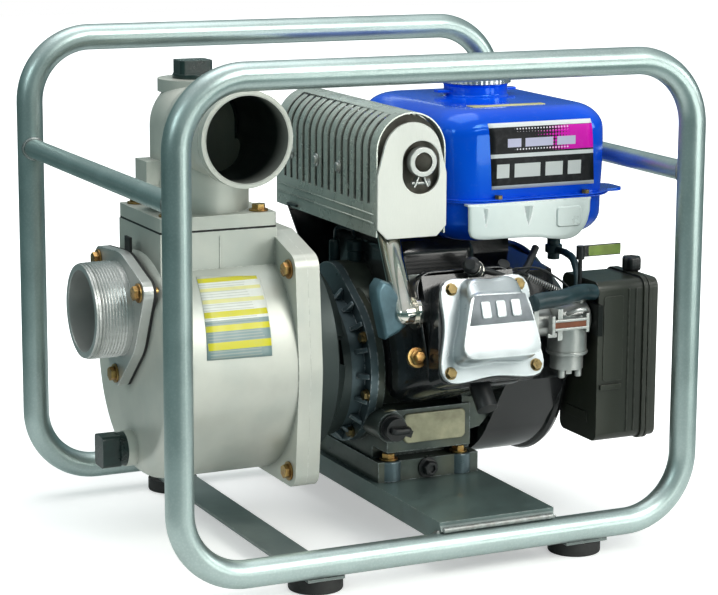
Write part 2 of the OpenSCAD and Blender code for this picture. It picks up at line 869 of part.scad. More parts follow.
module crankshaft() color("#8d9296") {
    xcyl(-138, cover_x0 + 2, shaft_r, crank_y, crank_z);
    xcyl(cover_x0 + 1, cyl_x - rod_gap_x - web_t + 1, journal_r - journal_fit, crank_y, crank_z);
    xcyl(cyl_x + rod_gap_x + web_t - 1, fan_x0 + 1, journal_r - journal_fit, crank_y, crank_z);
    xcyl(fan_x0, 160, shaft_r, crank_y, crank_z);
    translate([157, crank_y, crank_z]) rotate([0, 90, 0]) cylinder(r = 14, h = 9, $fn = 6);
    crank_web(cyl_x - rod_gap_x - web_t);
    crank_web(cyl_x + rod_gap_x);
    along_cylinder() translate([-rod_gap_x - 1, 0, crank_throw]) rotate([0, 90, 0])
        cylinder(r = pin_r, h = 2 * rod_gap_x + 2);
    xprism(gear_x, gear_x + gear_w) translate([crank_y, crank_z])
        rotate(90 - cylinder_tilt) gear_outline(crank_teeth);
}

module main_bearings() color("#b9bcc0") {
    for (x = [-bearing_w, rear_bearing_x]) {
        difference() {
            xcyl(x, x + bearing_w, bearing_r, crank_y, crank_z);
            xcyl(x - 1, x + bearing_w + 1, journal_r, crank_y, crank_z);
        }
    }
}

module conrod_big_end() color("#a7a9ab") along_cylinder() {
    difference() {
        union() {
            translate([-rod_w / 2, 0, crank_throw]) rotate([0, 90, 0]) cylinder(r = 16, h = rod_w);
            translate([-5, -7, crank_throw + 12]) cube([10, 14, 8]);
        }
        translate([-rod_w, 0, crank_throw]) rotate([0, 90, 0])
            cylinder(r = pin_r + journal_fit, h = 2 * rod_w);
    }
}

module conrod_shank() color("#a7a9ab") along_cylinder() {
    difference() {
        union() {
            translate([-8, 0, crank_throw + rod_len]) rotate([0, 90, 0]) cylinder(r = 11, h = 16);
            translate([-5, -7, crank_throw + rod_len - 17]) cube([10, 14, 10]);
        }
        translate([-9, 0, crank_throw + rod_len]) rotate([0, 90, 0])
            cylinder(r = wrist_r + journal_fit, h = 18);
    }
}

module piston() color("#c3c5c6") along_cylinder() {
    pin_z = crank_throw + rod_len;
    difference() {
        translate([0, 0, pin_z - 23.5]) cylinder(r = bore_d / 2 - 0.05, h = 38.5);
        difference() {
            translate([0, 0, pin_z - 24]) cylinder(r = bore_d / 2 - 6, h = 35.4);
            for (s = [-1, 1]) {
                translate([s * 20, 0, pin_z]) rotate([0, 90, 0]) cylinder(r = 11, h = 18, center = true);
            }
        }
        translate([0, 0, pin_z]) rotate([0, 90, 0]) cylinder(r = wrist_r, h = 80, center = true);
    }
}

module wrist_pin() color("#8f9396") along_cylinder() {
    translate([0, 0, crank_throw + rod_len]) rotate([0, 90, 0]) difference() {
        cylinder(r = wrist_r, h = 54, center = true);
        cylinder(r = wrist_r - 3, h = 56, center = true);
    }
}

module cam_lobe(x, a) {
    xprism(x - 4, x + 4) translate([cam_y, cam_z]) rotate(a) hull() {
        circle(8);
        translate([4.5, 0]) circle(7);
    }
}

module camshaft() color("#74787c") {
    xcyl(-5.5, 112, 7, cam_y, cam_z);
    xprism(gear_x, gear_x + gear_w) translate([cam_y, cam_z])
        rotate(270 - cylinder_tilt + 180 / cam_teeth) gear_outline(cam_teeth);
    cam_lobe(cyl_x - valve_x, throw_angle + 140);
    cam_lobe(cyl_x + valve_x, throw_angle - 140);
}

module valve(x, head) {
    translate([x, valve_y, deck + 3.5]) cylinder(r = head, h = 2.5);
    translate([x, valve_y, deck + 5]) cylinder(r = stem_r, h = tip_z - deck - 5, $fn = small_fn);
}

module intake_valve() color("#9a9da0") along_cylinder() valve(valve_x, 10.9);

module exhaust_valve() color("#9a9da0") along_cylinder() valve(-valve_x, 10.4);

module rocker(x) {
    difference() {
        union() {
            translate([x - 3.5, rocker_y, rocker_z]) rotate([0, 90, 0]) cylinder(r = 7, h = 7);
            translate([x - 3.5, valve_y - 2.5, tip_z + 0.1]) cube([7, 36.5, 5]);
        }
        translate([x - 5, rocker_y, rocker_z]) rotate([0, 90, 0]) cylinder(r = 3.55, h = 10);
    }
}

module intake_rocker() color("#85898d") along_cylinder() rocker(valve_x);

module exhaust_rocker() color("#85898d") along_cylinder() rocker(-valve_x);

module intake_pushrod() color("#b0b3b5") along_cylinder() {
    pushrod(valve_x, 3, rod_foot_z / cos(rod_lean) + 0.5, tip_z / cos(rod_lean) - 0.6);
}

module exhaust_pushrod() color("#b0b3b5") along_cylinder() {
    pushrod(-valve_x, 3, rod_foot_z / cos(rod_lean) + 0.5, tip_z / cos(rod_lean) - 0.6);
}

module spark_plug() color("#1b1c1d") along_cylinder() spark_line() {
    cylinder(r = 7, h = 21, $fn = small_fn);
    translate([0, 0, 21]) cylinder(r = 10.5, h = 8, $fn = 6);
    translate([0, 0, 28]) cylinder(r = 6, h = 14, $fn = small_fn);
    translate([0, 0, 40]) cylinder(r = 10, h = 30, $fn = small_fn);
}

module flywheel() color("#565b5e") {
    difference() {
        union() {
            xcyl(124, 148, 84, crank_y, crank_z);
            xcyl(120, 156, 24, crank_y, crank_z);
            for (i = [0 : blade_count - 1]) {
                translate([147, crank_y, crank_z]) rotate([i * 360 / blade_count, 0, 0])
                    translate([0, 50, -1.5]) cube([20, 33, 3]);
            }
        }
        xcyl(119, 157, shaft_r + 0.02, crank_y, crank_z);
        for (i = [0 : 5]) {
            translate([123, crank_y, crank_z]) rotate([i * 60, 0, 0]) translate([0, 42, 0])
                rotate([0, 90, 0]) cylinder(r = 9, h = 30, $fn = small_fn);
        }
    }
}

module shroud_outline(grow) {
    offset(delta = grow) translate([crank_y, crank_z]) hull() {
        circle(fan_r);
        rotate(throw_angle) translate([0, -58]) square([duct_len, 106]);
    }
}

module fan_housing() color("#24282a") {
    difference() {
        union() {
            xprism(case_x1, fan_x1) shroud_outline(0);
            translate([126, -5, crank_z + fan_r - 12]) cube([44, 40, tank_bottom - crank_z - fan_r + 12]);
        }
        xprism(case_x1 + 3, fan_x1 - 3) shroud_outline(-3);
        xcyl(case_x1 - 1, case_x1 + 4, 40, crank_y, crank_z);
        xcyl(fan_x1 - 4, fan_x1 + 1, 62, crank_y, crank_z);
        translate([0, crank_y, crank_z]) rotate([-cylinder_tilt, 0, 0])
            translate([case_x1 - 1, 6 - duct_len, -40]) cube([5, duct_len - 56, 86]);
    }
}

module recoil_housing() color("#202426") {
    difference() {
        union() {
            translate([fan_x1, crank_y, crank_z]) rotate([0, 90, 0]) rotate_extrude() {
                h = recoil_x1 - fan_x1;
                square([recoil_r, h - 12]);
                square([recoil_r - 12, h]);
                translate([recoil_r - 12, h - 12]) circle(12);
            }
            ycyl(crank_y + 40, 95, 9, 198, crank_z + rope_r);
        }
        xcyl(fan_x1 - 1, recoil_x1 - 3, recoil_r - 14, crank_y, crank_z);
        xcyl(fan_x1 - 1, recoil_x1 - 13, recoil_r - 3, crank_y, crank_z);
        ycyl(crank_y, 96, 4, 198, crank_z + rope_r);
        for (i = [0 : 11]) {
            translate([recoil_x1 - 8, crank_y, crank_z]) rotate([i * 30 + 15, 0, 0])
                translate([0, 26, -4]) cube([10, 34, 8]);
        }
    }
    xcyl(186, recoil_x1 - 2, 7.9, crank_y, crank_z);
}

module recoil_pulley() color("#d8d8d2") {
    difference() {
        union() {
            xcyl(190, 193, 52, crank_y, crank_z);
            xcyl(192, 204, rope_r - 2, crank_y, crank_z);
            xcyl(203, 206, 52, crank_y, crank_z);
        }
        xcyl(189, 207, 7.95, crank_y, crank_z);
    }
}

module starter_handle() color("#1b1d1e") {
    z = crank_z + rope_r;
    ycyl(89, 104, 3.5, 198, z);
    ycyl(95.2, 104, 8, 198, z);
    translate([198, 108, z - 34]) cylinder(r = 8.5, h = 68);
}

// ---- exhaust ----

// centreline of the exhaust pipe from the bend to the silencer, grown to radius r
module riser(r, end) {
    rod_between(bend, bend + end * (riser_top - bend), r);
}

module pipe_line(r, end) {
    xcyl(bend[0], exhaust_x, r, exhaust_gy, exhaust_gz);
    translate(bend) sphere(r = r);
    riser(r, end);
}

module exhaust_pipe() color("#b6b2aa") {
    difference() {
        union() {
            pipe_line(pipe_r, 1);
            xcyl(exhaust_x - 4, exhaust_x, 15, exhaust_gy, exhaust_gz);
        }
        pipe_line(pipe_r - 2, 1.1);
        xcyl(exhaust_x - 1, exhaust_x + 1, pipe_r - 2, exhaust_gy, exhaust_gz);
    }
}

module muffler() color("#77796f") {
    difference() {
        union() {
            yprism(-70, 138) rounded_rect(-6, 50, 312, 396, 24);
            ycyl(guard_y0 - 8, -68, 12, tail_x, tail_z);
        }
        yprism(-68, 136) rounded_rect(-4, 48, 314, 394, 22);
        ycyl(guard_y0 - 9, -60, 10, tail_x, tail_z);
        riser(pipe_r + 0.1, 1.1);
    }
}

module guard_outline(inset, z0) {
    hull() {
        translate([muffler_x, guard_top - guard_half]) circle(guard_half - inset);
        translate([muffler_x - guard_half + inset, z0])
            square([2 * (guard_half - inset), 10]);
    }
}

module muffler_guard() color("#8f9a92") {
    pitch = (guard_y1 - guard_y0 - 24) / slot_count;
    difference() {
        yprism(guard_y0, guard_y1) difference() {
            guard_outline(0, guard_z0);
            guard_outline(sheet, guard_z0 - 1);
        }
        for (s = [-1, 1], i = [0 : slot_count - 1]) {
            translate([muffler_x + s * 30 - 16, guard_y0 + 14 + i * pitch, guard_z0 + 30])
                cube([32, 6, 90]);
        }
    }
    for (s = [-1, 1], y = [-20, 90]) {
        translate([muffler_x + s * 31.5 - 3.5, y, 333]) cube([7, 8, 5]);
    }
}

module muffler_end_plate() color("#c8c9c2") {
    difference() {
        yprism(guard_y0 - 3, guard_y0) hull() {
            translate([muffler_x, guard_top - guard_half - 3]) circle(guard_half - 6);
            translate([muffler_x - guard_half, guard_z0 + 8]) square([2 * guard_half, 50]);
            translate([muffler_x - guard_half + 10, guard_z0 - 2]) square([2 * guard_half - 20, 10]);
        }
        yprism(guard_y0 - 4, guard_y0 + 1) hull() {
            for (z = [354, 366]) translate([31, z]) circle(19);
        }
    }
}

// ---- fuel ----

module tank_plan(inset, r) {
    rounded_rect(tank_x0 + inset, tank_x0 + tank_length - inset,
        tank_y0 + inset, tank_y0 + tank_depth - inset, r);
}

// pressed shell from the seam to the far face; s = 1 goes up and s = -1 goes down
module tank_shell(side, wall, tip, s) {
    hull() {
        translate([0, 0, s > 0 ? tank_seam : tank_seam - side]) linear_extrude(side)
            tank_plan(wall, tank_r - wall, $fn = small_fn);
        translate([0, 0, s > 0 ? tank_seam : tank_seam - tip]) linear_extrude(tip)
            tank_plan(14 + wall, tank_r - 8 - wall, $fn = small_fn);
    }
}

// rim of the tank seam with a mounting ear, cut back beside the silencer guard
module seam_flange(z) {
    x1 = tank_x0 + tank_length;
    translate([0, 0, z]) linear_extrude(sheet) {
        rounded_rect(tank_x0 - 1, x1 + lip, tank_y0 - lip, tank_y0 + tank_depth + lip,
            tank_r + lip);
        rounded_rect(x1 - 20, x1 + 22, -78, -42, 10);
    }
}

module tank_bolt_holes() {
    for (x = [tank_x0 + 50, tank_x0 + 145]) {
        translate([x, tank_y0 - 4, tank_seam - 8]) cylinder(r = 2.5, h = 16, $fn = small_fn);
    }
}

module fuel_tank_upper() color("#0b34e0") {
    tip = tank_top - tank_seam;
    difference() {
        union() {
            tank_shell(tip - 22, 0, tip, 1);
            seam_flange(tank_seam);
            translate([cap_x, cap_y, tank_top - 2]) cylinder(r = 31, h = neck_rise + 2);
        }
        translate([0, 0, -0.01]) tank_shell(tip - 24, sheet, tip - sheet, 1);
        translate([cap_x, cap_y, tank_top - 10]) cylinder(r = 26, h = neck_rise + 20);
        tank_bolt_holes();
    }
}

module fuel_tank_lower() color("#0b34e0") {
    tip = tank_seam - tank_bottom;
    difference() {
        union() {
            tank_shell(tip - 18, 0, tip, -1);
            seam_flange(tank_seam - sheet);
            translate([195, -52, tank_bottom - 25]) cylinder(r = 8, h = 26);
        }
        translate([0, 0, 0.01]) tank_shell(tip - 19, sheet, tip - sheet, -1);
        translate([195, -52, tank_bottom - 26]) cylinder(r = 3, h = 40);
        tank_bolt_holes();
    }
}

module fuel_cap() color("#c9cdcf") {
    translate([cap_x, cap_y, tank_top + neck_rise]) {
        linear_extrude(11) polygon([for (i = [0 : 95])
            (34.5 + (i % 2) * 0.8) * [cos(i * 3.75), sin(i * 3.75)]]);
        translate([0, 0, -12]) cylinder(r = 25.9, h = 13);
        translate([0, 0, 10]) cylinder(r1 = 32, r2 = 29, h = 3);
    }
}

module tank_shield() color("#e4e8e6") {
    difference() {
        union() {
            yprism(tank_y0 - 8, tank_y0 - 6) polygon([[75, 323], [77, 296], [83, 290], [150, 288],
                [172, 284], [190, 284], [207, 300], [209, 323]]);
            translate([75, tank_y0 - 8, 321.5]) cube([134, 7.8, 2]);
        }
        tank_bolt_holes();
    }
    for (x = [125, 158]) {
        translate([x, tank_y0 - 9.5, 300]) cube([4, 2, 20]);
    }
}

module carburettor() color("#a9aba8") {
    difference() {
        union() {
            xcyl(inlet_x, air_x0, 15, port_gy, port_gz);
            for (x = [inlet_x, 146, 190]) {
                translate([x, port_gy - 26, port_gz - 15]) cube([5, 52, 30]);
            }
            translate([171, port_gy, port_gz - 34]) cylinder(r = 19, h = 28);
            translate([171, port_gy, port_gz - 48]) cylinder(r = 16, h = 15);
            translate([171, port_gy, port_gz - 54]) cylinder(r = 6, h = 8, $fn = 6);
            translate([choke_x, port_gy, port_gz]) cylinder(r = 6, h = 22);
        }
        xcyl(inlet_x - 1, air_x0 + 1, port_r + 1, port_gy, port_gz);
        translate([choke_x, port_gy, port_gz + 11]) cylinder(r = 2.05, h = 20);
    }
}

module choke_lever() color("#1d1f20") {
    translate([choke_x, port_gy, 0]) {
        translate([0, 0, port_gz + 12]) cylinder(r = 2, h = 280 - port_gz - 12);
        translate([0, -1.2, 270]) cube([44, 2.4, 11]);
        translate([0, 0, 268]) cylinder(r = 4, h = 13);
    }
}

// ---- air cleaner ----

module air_box(x0, x1, inset) {
    xprism(x0, x1) rounded_rect(air_y0 + inset, air_y1 - inset, air_z0 + inset, air_z1 - inset, 9);
}

module air_cleaner_case() color("#2a2d26") {
    difference() {
        air_box(air_x0, air_x1, 0);
        air_box(air_x0 + 2.5, air_x1 + 1, 2.5);
        xcyl(air_x0 - 1, air_x0 + 4, 14, port_gy, port_gz);
    }
}

module air_filter() color("#7d7a55") {
    difference() {
        air_box(air_x0 + 20, air_x1 - 1, 6);
        for (z = [110 : 16 : 225]) translate([air_x0 + 19, air_y0 + 12, z])
            cube([22, 46, 8]);
    }
}

module air_cleaner_cover() color("#2a2d26") {
    difference() {
        air_box(air_x1, air_x2, 0);
        air_box(air_x1 - 1, air_x2 - 2.5, 2.5);
    }
    air_box(air_x2 - 0.5, air_x2 + 2.5, 14);
}

module cover_knob() color("#15171a") {
    translate([air_x1 + 3, -104, air_z1]) {
        cylinder(r = 10, h = 4);
        translate([0, 0, 3]) linear_extrude(13) rounded_rect(-9, 9, -7, 7, 3);
    }
}

module oil_cap() color("#17191a") {
    ycyl(-79, -76.05, 13, oil_x, oil_z);
    ycyl(-88, -79, 11, oil_x, oil_z);
    translate([oil_x, -86, oil_z]) rotate([0, 20, 0]) translate([0, 0, -3.5]) cube([18, 6, 7]);
    ycyl(-79, -66, 7.4, oil_x, oil_z);
}

module breather_hose() color("#16181a") {
    rod_between([116, -160, 238], [192.8, -133, 236], 6);
    rod_between([112.6, -161.2, 238], [116.5, -159.9, 238], 7.5);
}

front_hoop();
rear_hoop();
cross_tubes();
engine_channel();
foot_straps();
rubber_feet();
frame_bolts();
pump_casing();
volute();
impeller();
shaft_seal();
engine_adaptor();
suction_nozzle();
valve_gasket();
check_flap();
delivery_gasket();
delivery_elbow();
priming_cap();
drain_plug();
pump_bolts();
crankcase();
crankcase_cover();
cylinder_head();
rocker_cover();
engine_screws();
crankshaft();
main_bearings();
conrod_big_end();
conrod_shank();
piston();
wrist_pin();
camshaft();
intake_valve();
exhaust_valve();
intake_rocker();
exhaust_rocker();
intake_pushrod();
exhaust_pushrod();
spark_plug();
flywheel();
fan_housing();
recoil_housing();
recoil_pulley();
starter_handle();
muffler();
muffler_guard();
muffler_end_plate();
exhaust_pipe();
fuel_tank_upper();
fuel_tank_lower();
fuel_cap();
tank_shield();
carburettor();
choke_lever();
air_cleaner_case();
air_filter();
air_cleaner_cover();
cover_knob();
oil_cap();
breather_hose();
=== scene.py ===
import bpy
import json
import random
from math import cos, pi, radians, sin, sqrt
from types import SimpleNamespace
from mathutils import Matrix, Vector


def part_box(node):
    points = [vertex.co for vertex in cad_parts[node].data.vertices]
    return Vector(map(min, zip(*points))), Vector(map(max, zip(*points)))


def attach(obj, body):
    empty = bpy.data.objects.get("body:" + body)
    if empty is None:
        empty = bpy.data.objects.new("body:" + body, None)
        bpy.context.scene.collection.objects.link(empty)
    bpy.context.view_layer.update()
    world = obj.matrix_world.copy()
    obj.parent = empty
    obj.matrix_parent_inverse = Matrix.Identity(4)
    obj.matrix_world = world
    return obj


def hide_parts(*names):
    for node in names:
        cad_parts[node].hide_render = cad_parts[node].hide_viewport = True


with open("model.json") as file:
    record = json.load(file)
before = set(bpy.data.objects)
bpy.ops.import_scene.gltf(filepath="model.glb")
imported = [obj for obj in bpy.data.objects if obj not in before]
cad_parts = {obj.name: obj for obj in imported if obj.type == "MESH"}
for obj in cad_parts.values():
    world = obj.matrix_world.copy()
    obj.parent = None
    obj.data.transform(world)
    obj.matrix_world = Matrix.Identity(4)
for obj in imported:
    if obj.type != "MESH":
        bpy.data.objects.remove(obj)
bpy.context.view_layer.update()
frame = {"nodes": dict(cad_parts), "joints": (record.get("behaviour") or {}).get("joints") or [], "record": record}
nodes = frame["nodes"]
mm = 0.001
EDGE_ANGLE, SMOOTH_ANGLE = 36.0, 40.0
rng = random.Random(7)
joints = {j["name"]: j for j in frame["joints"]}


# -------- shader nodes

class Nodes:
    """Adds shader nodes to one material, new or copied from another."""

    def __init__(self, name, copy_of=None):
        self.mat = copy_of.copy() if copy_of else bpy.data.materials.new(name)
        self.mat.name = name
        self.mat.use_nodes = True
        self.tree = self.mat.node_tree
        self.bsdf = self.tree.nodes["Principled BSDF"]
        self.coord = self.add("ShaderNodeTexCoord").outputs["Object"]

    def add(self, kind, inputs=(), **props):
        """A new node; inputs are values or sockets, in order or by name."""
        n = self.tree.nodes.new(kind)
        for key, value in props.items():
            setattr(n, key, value)
        self.fill(n, inputs)
        return n

    def fill(self, n, inputs):
        """Link sockets and set values; a colour is given without its alpha."""
        for key, value in inputs.items() if isinstance(inputs, dict) else enumerate(inputs):
            if isinstance(value, bpy.types.NodeSocket):
                self.tree.links.new(value, n.inputs[key])
            elif n.inputs[key].type == "RGBA":
                n.inputs[key].default_value = (*value, 1.0)
            else:
                n.inputs[key].default_value = value

    def paint(self, **inputs):
        """Set inputs of the surface, spaces written as underscores, and return the material."""
        self.fill(self.bsdf, {key.replace("_", " "): value for key, value in inputs.items()})
        return self.mat

    def math(self, op, a, b=0.0, c=0.0, clamp=False):
        return self.add("ShaderNodeMath", (a, b, c), operation=op, use_clamp=clamp).outputs[0]

    def times(self, a, b):
        return self.math("MULTIPLY", a, b)

    def below(self, a, b):
        return self.math("LESS_THAN", a, b)

    def length(self, a, b):
        return self.math("SQRT", self.math("ADD", self.times(a, a), self.times(b, b)))

    def band(self, s, low, high):
        """1 where s lies between low and high."""
        return self.times(self.math("GREATER_THAN", s, low), self.below(s, high))

    def position(self):
        """Object coordinates, in metres, as outputs X, Y and Z."""
        return self.add("ShaderNodeSeparateXYZ", (self.coord,)).outputs

    def ramp(self, value, lo, hi, to_lo=0.0, to_hi=1.0):
        return self.add("ShaderNodeMapRange", (value, lo, hi, to_lo, to_hi), clamp=True).outputs[0]

    def mix(self, factor, a, b):
        return self.add("ShaderNodeMix", {0: factor, 6: a, 7: b}, data_type="RGBA").outputs[2]

    def noise(self, scale, detail=4.0, rough=0.5, stretch=None):
        at = self.coord
        if stretch:
            at = self.add("ShaderNodeMapping", {"Vector": at, "Scale": stretch}).outputs[0]
        n = self.add("ShaderNodeTexNoise",
                     {"Vector": at, "Scale": scale, "Detail": detail, "Roughness": rough})
        return n.outputs["Fac"]

    def edge(self, radius):
        """1 on convex and concave edges, 0 on flats."""
        round_normal = self.add("ShaderNodeBevel", {"Radius": radius}, samples=4).outputs[0]
        normal = self.add("ShaderNodeNewGeometry").outputs["Normal"]
        match = self.add("ShaderNodeVectorMath", (round_normal, normal), operation="DOT_PRODUCT")
        return self.ramp(match.outputs["Value"], 0.985, 0.90)

    def crevice(self, distance):
        """1 in the open, falling to 0 in corners."""
        return self.add("ShaderNodeAmbientOcclusion", {"Distance": distance}, samples=4).outputs["AO"]

    def bump(self, height, strength, distance, **normal):
        n = self.add("ShaderNodeBump", {"Strength": strength, "Distance": distance, "Height": height,
                                        **normal})
        return n.outputs[0]

    def printed(self, color, patch, rough, grain, relief):
        """Finish of a printed card: even roughness between two values, with a fine relief."""
        return self.paint(Base_Color=color, Roughness=self.ramp(self.noise(patch), 0.3, 0.7, *rough),
                          Normal=self.bump(self.noise(grain), relief, 0.0003))


# -------- looks

def surface(name, base, rough, metal=0.0, patch=30.0, var=0.12, rough_var=0.25, grain=900.0,
            bump=0.15, wear=None, wear_width=0.0012, wear_rough=None, corner_shade=None, corner_shade_size=0.012,
            coat=0.0, stretch=None, streak=0.0, speck=None, speck_scale=260.0, sheen=0.0, tint=None):
    """A worn, uneven surface: patchy colour, uneven roughness, fine relief, rubbed edges, painted shade in
    corners.
    """
    n = Nodes(name)
    dark = tuple(c * (1 - var) for c in base)
    light = tuple(min(1.0, c * (1 + var)) for c in base)
    large = n.noise(patch, 5.0, 0.55)
    color = n.mix(n.ramp(large, 0.3, 0.7), dark, light)
    if tint:
        color = n.mix(n.ramp(n.noise(patch * 0.45, 3.0), 0.45, 0.75, 0.0, 0.6), color, tint)
    fine = n.noise(grain, 3.0, 0.6, stretch)
    if streak:
        color = n.mix(n.ramp(fine, 0.35, 0.65, 0.0, streak), color, tuple(c * 0.72 for c in base))
    if speck:
        cells = n.add("ShaderNodeTexVoronoi", {"Vector": n.coord, "Scale": speck_scale})
        color = n.mix(n.ramp(cells.outputs["Distance"], 0.0, 0.6, 0.45, 0.0), color, speck)
    value = n.ramp(large, 0.25, 0.75, rough * (1 - rough_var), min(1.0, rough * (1 + rough_var)))
    # painted shade: ambient occlusion darkens the colour in corners, and makes them rougher
    if corner_shade:
        open_air = n.crevice(corner_shade_size)
        color = n.mix(n.ramp(open_air, 0.35, 0.9, 0.75, 0.0), color, corner_shade)
        value = n.math("ADD", value, n.ramp(open_air, 0.35, 0.9, 0.2, 0.0), clamp=True)
    if wear:
        rubbed = n.times(n.edge(wear_width), n.ramp(n.noise(180.0, 4.0), 0.42, 0.6))
        color = n.mix(rubbed, color, wear)
        if wear_rough is not None:
            value = n.math("MULTIPLY_ADD", rubbed, n.math("SUBTRACT", wear_rough, value), value)
    low = n.bump(large, bump * 0.25, 0.0012)
    return n.paint(Base_Color=color, Roughness=value, Metallic=metal, Coat_Weight=coat, Coat_Roughness=0.06,
                   Sheen_Weight=sheen, Normal=n.bump(fine, bump, 0.0003, Normal=low))
